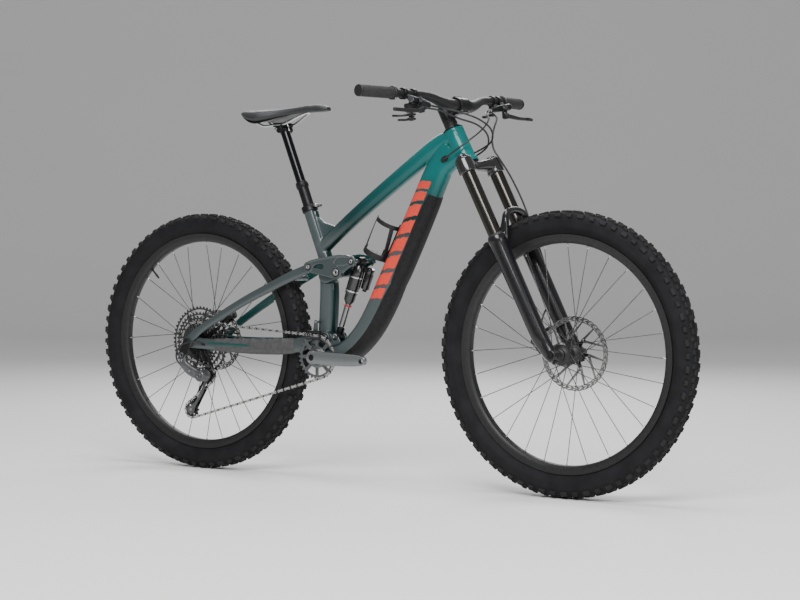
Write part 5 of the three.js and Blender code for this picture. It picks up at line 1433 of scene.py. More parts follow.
def chain_route():
    """The points of the chain's closed line: straight runs and arcs round four wheels."""
    jockey_r = pitch_radius(JOCKEY_TEETH)
    # Each wheel is (centre, radius, turn), in the order in which the chain meets them.
    wheels = [
        (V(BB.x, CHAIN_FRONT_Y, BB.z), pitch_radius(CHAINRING_TEETH), 1),
        (JOCKEY_LOWER, jockey_r, 1),
        (JOCKEY_UPPER, jockey_r, -1),
        (V(REAR_AXLE.x, CHAIN_REAR_Y, REAR_AXLE.z), pitch_radius(COG_TEETH[CHAIN_COG]), 1),
    ]
    spans = []
    count = len(wheels)
    for i in range(count):
        (c0, r0, t0), (c1, r1, t1) = wheels[i], wheels[(i + 1) % count]
        spans.append(tangent_line(c0, r0, t0, c1, r1, t1))
    route = []
    for i in range(count):
        centre, r, turn = wheels[i]
        arrive = spans[i - 1][1]
        leave = spans[i][0]
        a0 = math.atan2(arrive.z - centre.z, arrive.x - centre.x)
        a1 = math.atan2(leave.z - centre.z, leave.x - centre.x)
        sweep = -((a0 - a1) % TAU) if turn > 0 else (a1 - a0) % TAU
        steps = max(4, int(abs(sweep) * 16))
        for k in range(steps + 1):
            a = a0 + sweep * k / steps
            route.append(centre + V(r * math.cos(a), 0, r * math.sin(a)))
    route.append(route[0])
    return route


def tangent_line(c0, r0, t0, c1, r1, t1):
    """Where a belt leaves one wheel and meets the next; turn +1 is clockwise seen from the right."""
    dx, dz = c1.x - c0.x, c1.z - c0.z
    a = math.atan2(dz, dx) + math.acos((r0 * t0 - r1 * t1) / math.hypot(dx, dz))
    p = V(c0.x + t0 * r0 * math.cos(a), c0.y, c0.z + t0 * r0 * math.sin(a))
    q = V(c1.x + t1 * r1 * math.cos(a), c1.y, c1.z + t1 * r1 * math.sin(a))
    return p, q


def chain():
    """Outer and inner links in turn, laid at even distances along the chain's line."""
    route = chain_route()
    lengths = [0.0]
    for p, q in zip(route, route[1:]):
        lengths.append(lengths[-1] + (q - p).length)
    total = lengths[-1]
    links = round(total / CHAIN_PITCH / 2) * 2
    joints = []
    at = 0
    for i in range(links):
        want = total * i / links
        while lengths[at + 1] < want:
            at += 1
        f = (want - lengths[at]) / max(1e-9, lengths[at + 1] - lengths[at])
        joints.append(route[at].lerp(route[at + 1], f))
    parts = []
    for i, p in enumerate(joints):
        q = joints[(i + 1) % links]
        outer = i % 2
        way = (q - p).normalized()
        up = Y.cross(way).normalized()
        side = way.cross(up).normalized()
        length = (q - p).length
        # How far a plate's two faces lie from the chain's middle.
        near, far = (1.65, 2.45) if outer else (0.85, 1.6)
        for s in SIDES:
            shape = link_plate(p, way, up, side, length, *span(s, near, far))
            # Inner plates take the dark painted shade of the chain's gaps.
            parts.append((shape, CHAIN if outer else CHAIN_INNER_SHADE))
        parts.append((rod(p - side * 2.65, p + side * 2.65, 1.7, sides=10, edge=0.2), CHAIN_PIN))
        # The roller is dark too: painted shade between the plates.
        parts.append((rod(p - side * 0.9, p + side * 0.9, 3.4, sides=12, edge=0.2), CHAIN_INNER_SHADE))
    obj = piece("chain_links", None, parts, ["chain"], angle=40)
    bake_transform(obj)


def link_plate(p, way, up, side, length, y0, y1):
    """A chain plate: two round ends and a waist between them."""
    big, waist = 4.1, 2.2
    ring = arc(0, 0, big, math.pi / 2, math.pi * 1.5, 7) + [(length / 2, -waist)]
    ring += arc(length, 0, big, -math.pi / 2, math.pi / 2, 7) + [(length / 2, waist)]
    return loft([[p + way * u + up * v + side * y for u, v in ring] for y in (y0, y1)])


# Painted shade: the inner plates and the rollers are made dark, to stand for the shade in the gaps between
# the outer plates.
CHAIN_INNER_SHADE = brushed("chain_inner_painted_shade", (0.02, 0.02, 0.02), (0.05, 0.05, 0.05), (0.3, 0.44), (1, 1, 1))
CHAIN_PIN = brushed("chain_pin", (0.02, 0.02, 0.02), (0.05, 0.05, 0.05), (0.3, 0.4), (1, 1, 1))
cassette()
chainring()
crank(-1)
crank(1)
chain()


def jockey(p, name, body):
    """A toothed guide wheel with six round windows and a hub."""
    y = CHAIN_REAR_Y
    loops = [toothed(p.x, p.z, JOCKEY_TEETH, tip=2.4, valley=2.2)]
    for k in range(6):
        loops.append(circle(*polar(p.x, p.z, 13.4, TAU * k / 6), 3.4, 12))
    loops.append(circle(p.x, p.z, 6.2, 20))
    hub = [(3, y - 2.6), (6.8, y - 2.6), (7.4, y - 1.6), (7.4, y + 1.6), (6.8, y + 2.6), (3, y + 2.6)]
    parts = [(plate(loops, y - 1.1, y + 1.1, 0.3), PLASTIC), (upright(ring_profile(hub), p, 32), BLACK)]
    piece(name, body, parts, [body], angle=30)


def derailleur_cage():
    """The cage's inner and outer plate, joined by the bolts of the two jockey wheels."""
    upper = (JOCKEY_UPPER.x, JOCKEY_UPPER.z)
    lower = (JOCKEY_LOWER.x, JOCKEY_LOWER.z)
    way = (V(lower[0], 0, lower[1]) - V(upper[0], 0, upper[1])).normalized()

    def between(f, aside=0.0):
        x = upper[0] + (lower[0] - upper[0]) * f + way.z * aside
        z = upper[1] + (lower[1] - upper[1]) * f - way.x * aside
        return x, z

    parts = []
    loops = [link_outline(upper, 14, lower, 13)]
    loops.append(link_outline(between(0.27), 6.2, between(0.47), 5.4, 8))
    loops.append(link_outline(between(0.60), 5.0, between(0.74), 4.4, 8))
    parts.append((plate(loops, -33.9, -32.6, 0.4), BLACK))
    # The outer plate is a slim arm ahead of the chain, broad round the two wheels.
    front, back = [], []
    for k in range(25):
        f = k / 24
        bend = -8.5 * math.sin(math.pi * f) ** 0.8
        wide = 3.6 + 10.4 * abs(2 * f - 1) ** 5
        front.append(between(f, bend - wide))
        back.append(between(f, bend + wide))
    down = math.atan2(way.z, way.x)
    end_r, half_turn = 13.5, 1.45
    low_end = arc(*lower, end_r, down - half_turn, down + half_turn, 11)
    high_end = arc(*upper, end_r, down + math.pi - half_turn, down + math.pi + half_turn, 11)
    parts.append((plate([front + low_end + list(reversed(back)) + high_end], -45.9, -44.2, 0.4), MECH))
    for p in (JOCKEY_UPPER, JOCKEY_LOWER):
        parts.append((pin(p, -45.6, -32.8, 2.9), BOLT))
        parts.append((hex_socket(1.7, 45.9, 46.0, 3.6, p, -1), BOLT))
    piece("cage_plates", "derailleur_cage", parts, ["derailleur_cage"])


def derailleur_body():
    """The derailleur's linkage on its bracket, its cover and pins, and the end of its cable."""
    hanger = (HANGER.x, HANGER.z)
    links = [
        (-628, -84, 336, 11, 7),
        (-624, -84, 312, 13, 8),
        (-600, -79, 291, 15, 9),
        (-570, -72, 278, 14, 9),
    ]
    shapes = [
        pin(JOCKEY_UPPER, -84, -47, 17, edge=2.5),
        pin(HANGER, -92, -76, 14, edge=2),
        oval_tube(links, square=0.7, sides=36),
    ]
    casting("derailleur_links", "swingarm", shapes, MECH, ["derailleur_body"], 0.9)
    bracket = plate([link_outline((REAR_AXLE.x, REAR_AXLE.z), 12, hanger, 12)], -92, -86.8, 0.8)
    piece("derailleur_bracket", "swingarm", [(bracket, BLACK)])
    parts = [
        (hex_socket(4, 84.2, 86.6, 8.5, JOCKEY_UPPER, -1), GREY),
        (hex_socket(3.4, 92.1, 93.9, 8, HANGER, -1), GREY),
    ]
    # A long cover strip on the outer link, and the two link pins.
    strip = [(-629, -91.2, 328, 5.5, 1.0), (-620, -91.2, 306, 7.5, 1.2), (-598, -87.6, 290, 8, 1.2)]
    parts.append((oval_tube(strip, square=0.7, sides=24, steps=24), GREY))
    for x, y, z in ((-628, -90.8, 322), (-602, -87.4, 293)):
        parts.append((rod(V(x, y - 2.2, z), V(x, y + 4, z), 3.2, sides=24), BOLT))
    piece("derailleur_pins", "swingarm", parts)
    # The control cable leaves the chainstay and curls round behind into the body.
    loop = [V(-560, -82.4, 372), V(-590, -90, 377), V(-625, -93, 368), V(-648, -90, 346), V(-650, -86, 322),
            V(-638, -84, 308)]
    start, end = loop[0], loop[-1]
    ferrule = start - (loop[1] - start).normalized() * 12
    parts = [
        (tube(loop, 2.4, 16, 60), HOSE),
        (rod(start, ferrule, 3.4), BLACK),
        (rod(end - V(-9, -1, 5), end, 3.5), BLACK),
    ]
    piece("derailleur_cable", "swingarm", parts)


MECH = speckled("derailleur_alloy", (0.075, 0.078, 0.080), (0.125, 0.128, 0.130), (0.28, 0.42), 0.6,
                grain=1500.0, bumpy=0.05, depth=0.0001)


def box_outline(x, z, wide, high):
    """A rectangle with clipped corners, seen from the side."""
    clip = 3
    points = []
    for sx, sz in ((-1, -1), (1, -1), (1, 1), (-1, 1)):
        px, pz = x + sx * wide / 2, z + sz * high / 2
        first, second = ((px, pz - sz * clip), (px - sx * clip, pz))
        points += [first, second] if sx * sz > 0 else [second, first]
    return points


def chain_guide():
    frame_loops = [box_outline(-174, 407, 44, 21.5), box_outline(-174, 408, 36, 13.5)]
    plate_parts = [
        (block(V(-174, -52, 420), (44, 13.5, 3.4), 1.4), PLASTIC),
        (plate(frame_loops, -59, -57, 0.5), PLASTIC),
        (block(V(-174, -46, 410), (40, 2, 15), 0.8), PLASTIC),
        (plate([link_outline((-174, 422), 8, (-172, 446), 5.5)], -48.2, -45.4, 0.6), STAY),
        (block(V(-172, -36, 446), (9, 20, 7), 2), STAY),
    ]
    plate_parts.append(small_bolt(V(-172, -48.2, 446), -Y, 3, 1.6))
    piece("guide_block", "frame", plate_parts, ["chain_guide"])


jockey(JOCKEY_UPPER, "jockey_wheel_upper", "jockey_upper")
jockey(JOCKEY_LOWER, "jockey_wheel_lower", "jockey_lower")
derailleur_cage()
derailleur_body()
chain_guide()


# ------------------------------------------------------------------ fork


# Sections of the crown's bridge, in the steering frame: n, y, s, half reach, half height.
CROWN_BRIDGE = [
    (30, -76, 566, 21, 19),
    (27, -50, 571, 20, 16),
    (14, -25, 573, 22, 13.5),
    (4, 0, 573, 24, 13.2),
    (14, 25, 573, 22, 13.5),
    (27, 50, 571, 20, 16),
    (30, 76, 566, 21, 19),
]


def crown():
    """The crown with its two stanchions, the steerer, and the caps on top of the legs."""
    axis = S(0, 0, 0)
    left, right = S(LEG_N, LEG_Y, 0), S(LEG_N, -LEG_Y, 0)
    lug_rows = [(22, 544.4), (24.4, 546), (24.4, 556), (23.5, 584), (21.5, 588), (4, 588), (4, 544.4)]
    shapes = [lathe([(27, 566), (27, 587.6), (20, 587.8), (20, 566)], axis, S_UP)]
    shapes += [lathe(lug_rows, leg, S_UP) for leg in (right, left)]
    rings = []
    for n, y, s, half_n, half_s in catmull(CROWN_BRIDGE, 60):
        ring = []
        for k in range(32):
            a = TAU * k / 32
            ring.append(S(n + half_n * power(math.cos(a), 0.7), y, s + half_s * power(math.sin(a), 0.7)))
        rings.append(ring)
    shapes.append(loft(rings))
    casting("fork_crown", "steering", shapes, GLOSS_BLACK, ["crown_and_stanchions"], 1.5, 6, 0.6)
    tube_rows = [(15, 254), (18.9, 254), (18.9, 590), (17.5, 591.5), (4, 591.5), (4, 560), (15, 560)]
    tubes = [(lathe(ring_profile(tube_rows), leg, S_UP, 56), STANCHION) for leg in (right, left)]
    piece("fork_stanchions", "steering", tubes)
    steerer = ring_profile([(12, 570), (19.8, 570), (19.8, 606), (14.2, 640), (14.2, 758), (12, 758)])
    piece("fork_steerer", "steering", [(lathe(steerer, axis, S_UP, 40), BLACK)])
    cap = [(0.5, 594.5), (9, 594.5), (13.5, 593.8), (15.5, 592), (15.5, 590), (0.5, 590)]
    knob = [(0.5, 600), (10, 600), (12, 598.6), (12, 594), (14, 592.4), (15.5, 590), (0.5, 590)]
    caps = [(lathe(cap[::-1], left, S_UP, 40), BLACK), (lathe(knob[::-1], right, S_UP, 40), DIAL)]
    piece("fork_top_caps", "steering", caps)


def leg_sections(side):
    """A fork leg's sections in the steering frame, from its top down: n, y, s, half reach, half width."""
    rows = (
        (30, 72, 356, 24.2, 24.2),
        (30, 72, 343, 25.2, 25.2),
        (30, 72, 318, 23.8, 23.8),
        (30, 72, 180, 23.2, 22.8),
        (30, 72, 70, 22.6, 21.6),
        (34, 73, 36, 20.6, 16.6),
        (39.3, 73, 4, 18.6, 15.6),
        (42.3, 73, -14, 12.6, 13.6),
    )
    return [(n, side * y, s, a, b) for n, y, s, a, b in rows]


def steer_loft(sections, sides, steps):
    """Oval rings square to the steering axis."""
    rings = []
    for n, y, s, a, b in catmull(sections, steps):
        ring = []
        for k in range(sides):
            angle = TAU * k / sides
            ring.append(S(n + a * math.cos(angle), y + b * math.sin(angle), s))
        rings.append(ring)
    return loft(rings)


def fork_lowers():
    """Both legs and the arch in one casting, with the dust wipers and the foot bolts."""
    shapes = []
    for side in SIDES:
        shapes.append(steer_loft(leg_sections(side), 40, 80))
        shapes.append(pin(FRONT_AXLE, *span(side, 55.6, 87.6), 15, edge=1.5))
        # A web from the leg's shoulder up into the arch.
        web = [(34, side * 60, 320, 15, 10), (48, side * 61, 350, 14, 9.5), (66, side * 57, 384, 9.7, 8.6)]
        shapes.append(arch_tube(web))
    arch = [
        (34, 58, 328, 16.5, 10.2),
        (48, 60, 352, 14.5, 9.6),
        (66, 57, 384, 9.7, 8.7),
        (70, 44, 403, 9.7, 8.2),
        (72, 22, 411, 9.7, 8.2),
        (72, 0, 413, 9.7, 8.2),
    ]
    shapes.append(arch_tube(arch + [(n, -y, s, a, b) for n, y, s, a, b in reversed(arch[:-1])]))
    casting("fork_legs", "fork_lowers", shapes, FORK_BLACK, ["fork_lowers"], 1.6, 5, 0.6)
    seal = ring_profile([
        (19.1, 352), (23, 352), (23.4, 355.4), (22.6, 358), (21, 360.5), (19.6, 361.5), (19.1, 361.5),
    ])
    seals, feet = [], []
    for side in SIDES:
        seals.append((lathe(seal, S(LEG_N, side * LEG_Y, 0), S_UP, 56), RUBBER))
        foot = S(42.5, side * 73, -15)
        feet.append((rod(foot, foot - S_UP * 6, 8.5, sides=32, edge=1), BLACK))
        dial = rod(foot - S_UP * 5, foot - S_UP * 9, 6, sides=6, edge=0.8)
        feet.append((dial, DIAL if side < 0 else BLACK))
    piece("fork_seals", "fork_lowers", seals)
    piece("fork_foot_bolts", "fork_lowers", feet)


def arch_tube(sections):
    """Part of the arch: sections along its run in the steering frame, deep fore and aft."""
    smooth = catmull(sections, 64)
    centres = [V(*s[:3]) for s in smooth]
    rings = []
    for p, way, s in zip(centres, along_path(centres), smooth):
        side = V(1, 0, 0.25).normalized()
        side = (side - way * side.dot(way)).normalized()
        ring = ring_points(p, side, way.cross(side), s[3], s[4], 24, 0.75)
        rings.append([STEER @ q for q in ring])
    return loft(rings)


def caliper(name, body, node_name, middle, rotor_y, turn, arms):
    """Two halves with a round cup over each piston, joined by a bridge over the rotor."""
    spin = Matrix.Rotation(-turn, 4, "Y")

    def put(shape, y):
        return place(shape, Matrix.Translation(middle + V(0, y, 0)) @ spin), SATIN_BLACK

    parts = []
    for side in SIDES:
        y = rotor_y + side * 10
        parts.append(put(block(ORIGIN, (50, 13, 31), 4), y))
        for x, foot_r, face_r in ((-9, 11, 10.4), (12, 9.5, 9)):
            cup = rod(V(x, 0, 0), V(x, side * 4, 0), foot_r, face_r, 32, 1)
            parts.append(put(cup, y + side * 6))
    parts.append(put(block(V(-4, 0, 12), (44, 10, 7), 2), rotor_y))
    parts += [(a, SATIN_BLACK) for a in arms]
    piece(name, body, parts, [node_name], angle=45)


STANCHION = brushed("stanchion_coating", (0.045, 0.042, 0.038), (0.066, 0.062, 0.056), (0.12, 0.2),
                    (1, 1, 14), 0.9)
FORK_BLACK = speckled("fork_paint", (0.006, 0.006, 0.007), (0.010, 0.010, 0.011), (0.22, 0.32), 0.1,
                      grain=900.0, bumpy=0.015, depth=0.0001, Specular_IOR_Level=0.25,
                      Coat_Weight=0.45, Coat_Roughness=0.1)
DIAL = speckled("dial_blue_grey", (0.06, 0.07, 0.08), (0.10, 0.11, 0.12), (0.3, 0.42), 0.8, grain=1200.0)
crown()
fork_lowers()


def front_caliper():
    middle = S(-38, 0, 66)
    # Two arms from the fork leg carry the caliper, each held by a bolt.
    arms = [place(block(V(-15, 62, s + 5), (38, 9, 10), 2), STEER) for s in (40, 92)]
    caliper("front_caliper_body", "fork_lowers", "front_caliper", middle, 44.5, math.radians(-48), arms)
    bolts = [small_bolt(S(-38, 62, s + 5), Y, 4, 3) for s in (40, 92)]
    piece("front_caliper_bolts", "fork_lowers", bolts)


def rear_caliper():
    angle = math.radians(62)
    middle = REAR_AXLE + V(82 * math.cos(angle), 0, 82 * math.sin(angle))
    outline = link_outline((middle.x - 16, middle.z - 8), 7, (middle.x + 14, middle.z + 12), 7)
    tab = plate([outline], 64, 70, 0.8)
    caliper("rear_caliper_body", "seatstay", "rear_caliper", middle, 55, math.radians(90) - angle, [tab])


front_caliper()
rear_caliper()


# ------------------------------------------------------------------ cockpit

BAR_CENTRE = S(STEM_LENGTH, 0, STEM_S)
# The bar from its middle to its left end, as (x, y, z, radius) from its middle.
BAR_HALF = [
    (0, 0, 0, 17.4),
    (0, 42, 0, 17.4),
    (-1, 60, 1, 16.5),
    (-5, 92, 8, 14.1),
    (-12, 128, 18, 12),
    (-18, 165, 22, 11.1),
    (-28, 240, 23, 11.1),
    (-52, 403, 24, 11.1),
]


def bar_point(y):
    """The middle of the handlebar at a distance from the bike's middle plane."""
    reach = abs(y)
    for (x0, y0, z0, _), (x1, y1, z1, _) in zip(BAR_HALF, BAR_HALF[1:]):
        if y1 >= reach:
            f = (reach - y0) / (y1 - y0)
            return BAR_CENTRE + V(x0 + (x1 - x0) * f, 0, z0 + (z1 - z0) * f) + V(0, y, 0)
    return BAR_CENTRE


def handlebar():
    half = catmull(BAR_HALF, 70)
    full = [(x, -y, z, r) for x, y, z, r in reversed(half[1:])] + half
    rings = [ring_points(BAR_CENTRE + V(x, y, z), X, Z, r, r, 32) for x, y, z, r in full]
    piece("handlebar_tube", "steering", [(loft(rings), SATIN_BLACK)], ["handlebar"])


def grip(side):
    """A grip's rubber, and the collars at its two ends."""
    tag = side_tag(side)
    inner, outer = bar_point(side * 272), bar_point(side * 403)
    along = (outer - inner).normalized()
    length, steps, core_r = 135, 150, 14.9
    rib_height, rib_pitch, block_height, block_pitch = 0.55, 3.2, 0.5, 8
    rings = []
    for i in range(steps + 1):
        h = 9.6 + (length - 14.6) * i / steps
        ring = []
        for k in range(48):
            a = TAU * k / 48
            # Fine ribs below, a waffle of blocks on top, and a small chamfer at both ends.
            rib = rib_height * (0.5 + 0.5 * math.cos(h * TAU / rib_pitch))
            waffle = block_height if (math.sin(h * TAU / block_pitch) * math.sin(a * 8)) > 0 else 0
            lower = math.sin(a) < 0.2
            r = core_r + (rib if lower else waffle + 0.2) - (0.6 if i in (0, steps) else 0)
            ring.append(inner + along * h + X * (r * math.cos(a)) + Z * (r * math.sin(a)))
        rings.append(ring)
    piece("grip_rubber_" + tag, "steering", [(loft(rings), RUBBER)], ["grip_" + tag], angle=60)
    collar = ring_profile([(11.9, 0), (17, 0), (18.3, 1), (18.3, 8), (17, 9.2), (11.9, 9.2)])
    end = [(0.5, length), (14.4, length), (15.8, length - 1.2), (15.8, length - 5), (0.5, length - 5)]
    parts = [
        (lathe(collar, inner, along), SATIN_BLACK),
        small_bolt(inner + along * 4.6 + V(11, 0, -14.5), V(0.6, 0, -0.8), 2.6, 1.6),
        (lathe(end[::-1], inner, along), SATIN_BLACK),
    ]
    piece("grip_collars_" + tag, "steering", parts)


def stem():
    column = ring_profile([
        (14.6, 695.2), (26.6, 695.2), (27, 696), (26.2, 698), (19.4, 703), (19, 704), (19, 712.6),
        (18.5, 713), (18.5, 713.4), (19, 713.8), (18.4, 722), (14.6, 722),
    ])
    piece("stem_spacers", "steering", [(lathe(column, S(0, 0, 0), S_UP, 56), SATIN_BLACK)])
    clamp = ring_profile([(14.6, 722.4), (19, 722.4), (19, 761.6), (14.6, 761.6)])
    shapes = [lathe(clamp, S(0, 0, 0), S_UP)]
    body = []
    sections = ((14, 18, 15.5), (24, 17, 17), (32, 18, 20), (38, 21.5, 24), (46.8, 22.8, 25.6))
    for n, half_s, half_y in sections:
        ring = []
        for k in range(32):
            a = TAU * k / 32
            ring.append(S(n, half_y * power(math.cos(a), 0.55), STEM_S + half_s * power(math.sin(a), 0.55)))
        body.append(ring)
    shapes.append(loft(body))
    stem_body = casting("stem_body", "steering", shapes, BLACK, ["stem"], 0.9)
    cut_away(stem_body, rod(S(STEM_LENGTH, -60, STEM_S), S(STEM_LENGTH, 60, STEM_S), 18, sides=48))
    bolts = [small_bolt(S(-17.6, 0, s), -S_N, 3, 1.3) for s in (734, 750)]
    piece("stem_bolts", "steering", bolts)


def faceplate():
    """The plate that clamps the bar into the stem, its four bolts, and the cap over the steerer."""
    rings = []
    for y in (-25.6, -24.6, 24.6, 25.6):
        ring = []
        inset = 1 if abs(y) > 25 else 0
        for a in arc(0, 0, 1, -1.15, 1.15, 15):
            ring.append(S(STEM_LENGTH + (22.6 - inset) * a[0], y, STEM_S + (22.6 - inset) * a[1]))
        for n, s in ((9, 23.6), (1, 23.6), (1, 18.1), (9, 15.7)):
            ring.append(S(STEM_LENGTH + n, y, STEM_S + s - (inset if s > 20 else 0)))
        for a in arc(0, 0, 18.1, 0.95, -0.95, 13):
            ring.append(S(STEM_LENGTH + a[0], y, STEM_S + a[1]))
        for n, s in ((9, -15.7), (1, -18.1), (1, -23.6), (9, -23.6)):
            ring.append(S(STEM_LENGTH + n, y, STEM_S + s + (inset if s < -20 else 0)))
        rings.append(ring)
    piece("faceplate_shell", "steering", [(loft(rings), BLACK)], ["stem_faceplate"], angle=30)
    bolts = []
    for y in (-17, 17):
        for s in (-20, 20):
            bolts.append(small_bolt(S(STEM_LENGTH + 9.2, y, STEM_S + s * 0.98), S_N, 3.2, 2.4))
    piece("faceplate_bolts", "steering", bolts)
    cap = [(0.5, 765.6), (9, 765.8), (15.2, 765.6), (16.6, 764.8), (17.4, 762.5), (16, 762.3), (0.5, 762.3)]
    piece("cap_disc", "steering", [(lathe(cap[::-1], S(0, 0, 0), S_UP), BLACK)], ["top_cap"])


def clamp_band(y, width, r):
    a, b = bar_point(y - width / 2), bar_point(y + width / 2)
    ring = [(11.6, 0), (r - 0.8, 0), (r, 0.8), (r, width - 0.8), (r - 0.8, width), (11.6, width)]
    return lathe(ring_profile(ring), a, b - a, 40), BLACK


def lever_pivot(side):
    base = bar_point(side * 236)
    return V(base.x + 46, side * 214, base.z - 30)


# Sections of a brake lever from its pivot outward: x, distance out, z, half depth, half height.
BLADE = [
    (-2, -6, -5, 7, 6),
    (4, 14, -8, 5, 6),
    (12, 45, -12, 4, 5),
    (6, 80, -12, 3.4, 5),
    (-4, 112, -11, 3.4, 5),
    (-2, 128, -11, 3.4, 5),
    (6, 136, -13, 3, 4),
]


def brake(side):
    """A brake's master cylinder with its fittings, and the lever that turns on it."""
    tag = side_tag(side)
    base, pivot = bar_point(side * 236), lever_pivot(side)

    def near(x, out, z):
        return V(pivot.x + x, pivot.y + side * out, pivot.z + z)

    barrel_out = V(pivot.x - 12, side * 250, pivot.z + 15)
    barrel_in = V(pivot.x - 16, side * 158, pivot.z + 2)
    shapes = [
        rod(base + V(12, 0, -7), V(pivot.x - 14, side * 232, pivot.z + 13), 6.5, 7.8, 24, 1),
        rod(barrel_out, barrel_in, 9.8, 7.8, 32, 1.5),
        rod(near(0, 0, 4), near(-12, 0, 16), 8.6, 8.6, 28, 1),
        rod(near(0, 0, -18), near(0, 0, 5), 3.2, sides=20),
        rod(near(0, 0, -19.5), near(0, 0, -16.5), 7.5, sides=28),
        rod(near(-10, 2, -18), near(-13, 4, 12), 3.6),
        rod(near(-10, 2, -18), near(0, 0, -18), 3.2),
    ]
    casting("brake_master_" + tag, "steering", shapes, BLACK, ["brake_body_" + tag], 0.8)
    way = (barrel_in - barrel_out).normalized()
    # The reservoir's flat lid lies along the barrel.
    lid_at = (barrel_out + barrel_in) * 0.5 + V(0, 0, 8)
    parts = [
        clamp_band(side * 236, 12, 15.6),
        (rod(barrel_in - way * 2, barrel_in + way * 9, 5, 4.2, 6), SILVER),
        (rod(barrel_out - way * 1.8, barrel_out + way * 3, 8.6, 9.6, 32), GREY),
        (block(lid_at, (14, 40, 3), 1.2, Matrix.Rotation(side * 0.12, 3, "X")), GREY),
        small_bolt(near(-1, 0, 8.4), V(0.3, 0, 1), 3, 1.5),
    ]
    piece("brake_fittings_" + tag, "steering", parts)
    steps = 70
    sections = catmull(BLADE, steps)
    centres = [V(pivot.x + s[0], pivot.y + side * s[1], pivot.z + s[2] - 5) for s in sections]
    rings = []
    for p, way, s in zip(centres, along_path(centres), sections):
        up = (Z - way * way.z).normalized()
        rings.append(ring_points(p, way.cross(up), up, s[3], s[4], 28, 0.8))
    hub = near(0, 0, -10)
    parts = [(loft(rings), SATIN_BLACK)]
    parts.append((rod(hub - V(0, 0, 5.6), hub + V(0, 0, 5.6), 8, sides=32, edge=1), SATIN_BLACK))
    # Small studs where the finger rests.
    for f in (0.52, 0.60, 0.68, 0.76):
        i = int(f * steps)
        p, s = centres[i], sections[i]
        parts.append((rod(p + V(s[3] - 0.6, 0, 0), p + V(s[3] + 0.5, 0, 0), 2.0, 1.6, 20, 0.2), BLACK))
    piece("brake_blade_" + tag, "brake_lever_" + tag, parts, ["brake_lever_" + tag], angle=45)


def shifter():
    """The shifter's pod and fittings, hung below the bar, with its two paddles."""
    base = bar_point(-198)

    def at(x, y, z):
        return base + V(x, y, z)

    shapes = [
        rod(at(-2, 0, -12), at(-4, 0, -25), 6.8, 8, 24, 1),
        rod(at(-4, 0, -23.5), at(-3, 0, -47.6), 20.4, 17.6, 40, 3.5),
        rod(at(4, 10, -32), at(14, 44, -34), 6.8, 4.9, 24, 1),
    ]
    casting("shifter_pod", "steering", shapes, PLASTIC, ["shifter_body"], 0.8)
    parts = [
        clamp_band(-198, 11, 15.2),
        (rod(at(13.6, 42.6, -34), at(14.2, 45, -34), 4.4, 3.8, 12), BLACK),
        (rod(at(-3, 0, -47), at(-3, 0, -70), 3.1, sides=24), BLACK),
        (rod(at(-3, 0, -56.7), at(-3, 0, -60.4), 7.9, sides=40), BLACK),
        (rod(at(-3, 0, -67.8), at(-3, 0, -70), 6, sides=40), GREY),
    ]
    piece("shifter_fittings", "steering", parts)
    thumb("shift_paddle", "shift_lever", base, -52.5, 44, 0.75)
    thumb("release_paddle", "release_lever", base, -64.2, 36, 1.25)


def thumb(name, body, base, height, reach, swing):
    """One of the shifter's paddles, which reaches back and outward from the pivot."""
    hub = base + V(-3, 0, height)
    tip = hub + V(-reach * math.cos(swing), -reach * math.sin(swing), -4)
    middle = hub.lerp(tip, 0.55) + V(0, 0, -1)
    # A disc on the pivot, an arm that narrows outward, and a disc for the thumb.
    shapes = [
        rod(hub + V(0, 0, -2.8), hub + V(0, 0, 2.8), 11.6, 11.6, 36, 1),
        tube([hub, middle, tip], lambda t: 4.2 - 0.6 * t, 20, 20, flat=0.65),
        rod(tip + V(0, 0, -2.9), tip + V(0, 0, 2.9), 8.8, 8.8, 36, 1.4),
    ]
    casting(name, body, shapes, PLASTIC, [body], 0.7)


def remote():
    """The dropper post's remote: its mount, its band round the bar, and its paddle."""
    base = bar_point(202)

    def at(x, y, z):
        return base + V(x, y, z)

    shapes = [
        rod(at(0, 0, -12), at(0, 0, -33.8), 7.8, 7.8, 28, 1),
        rod(at(2, 2, -28), at(10, -26, -24), 5.3, 3.9, 24, 0.8),
    ]
    casting("remote_mount", "steering", shapes, BLACK, ["dropper_remote_body"], 0.7)
    piece("remote_band", "steering", [clamp_band(202, 11, 15.2)])
    hub = at(0, 0, -39)
    tip = hub + V(-34, 26, -3)
    shapes = [
        rod(hub + V(0, 0, -3.8), hub + V(0, 0, 3.8), 8.8, 8.8, 32, 1),
        tube([hub, hub.lerp(tip, 0.5) + V(0, 0, 0.5), tip], lambda t: 5 + 0.8 * t, 20, 20, flat=0.7),
        rod(tip + V(0, 0, -3.8), tip + V(0, 0, 3.8), 10.8, 10.8, 36, 1.6),
    ]
    casting("remote_paddle", "dropper_lever", shapes, BLACK, ["dropper_lever"], 0.7)


handlebar()
grip(-1)
grip(1)
stem()
faceplate()
brake(-1)
brake(1)
shifter()
remote()


# ------------------------------------------------------------------ hoses

HOSE_R = 2.5


def master_end(side):
    p = lever_pivot(side)
    return V(p.x - 16, side * 155, p.z + 2)


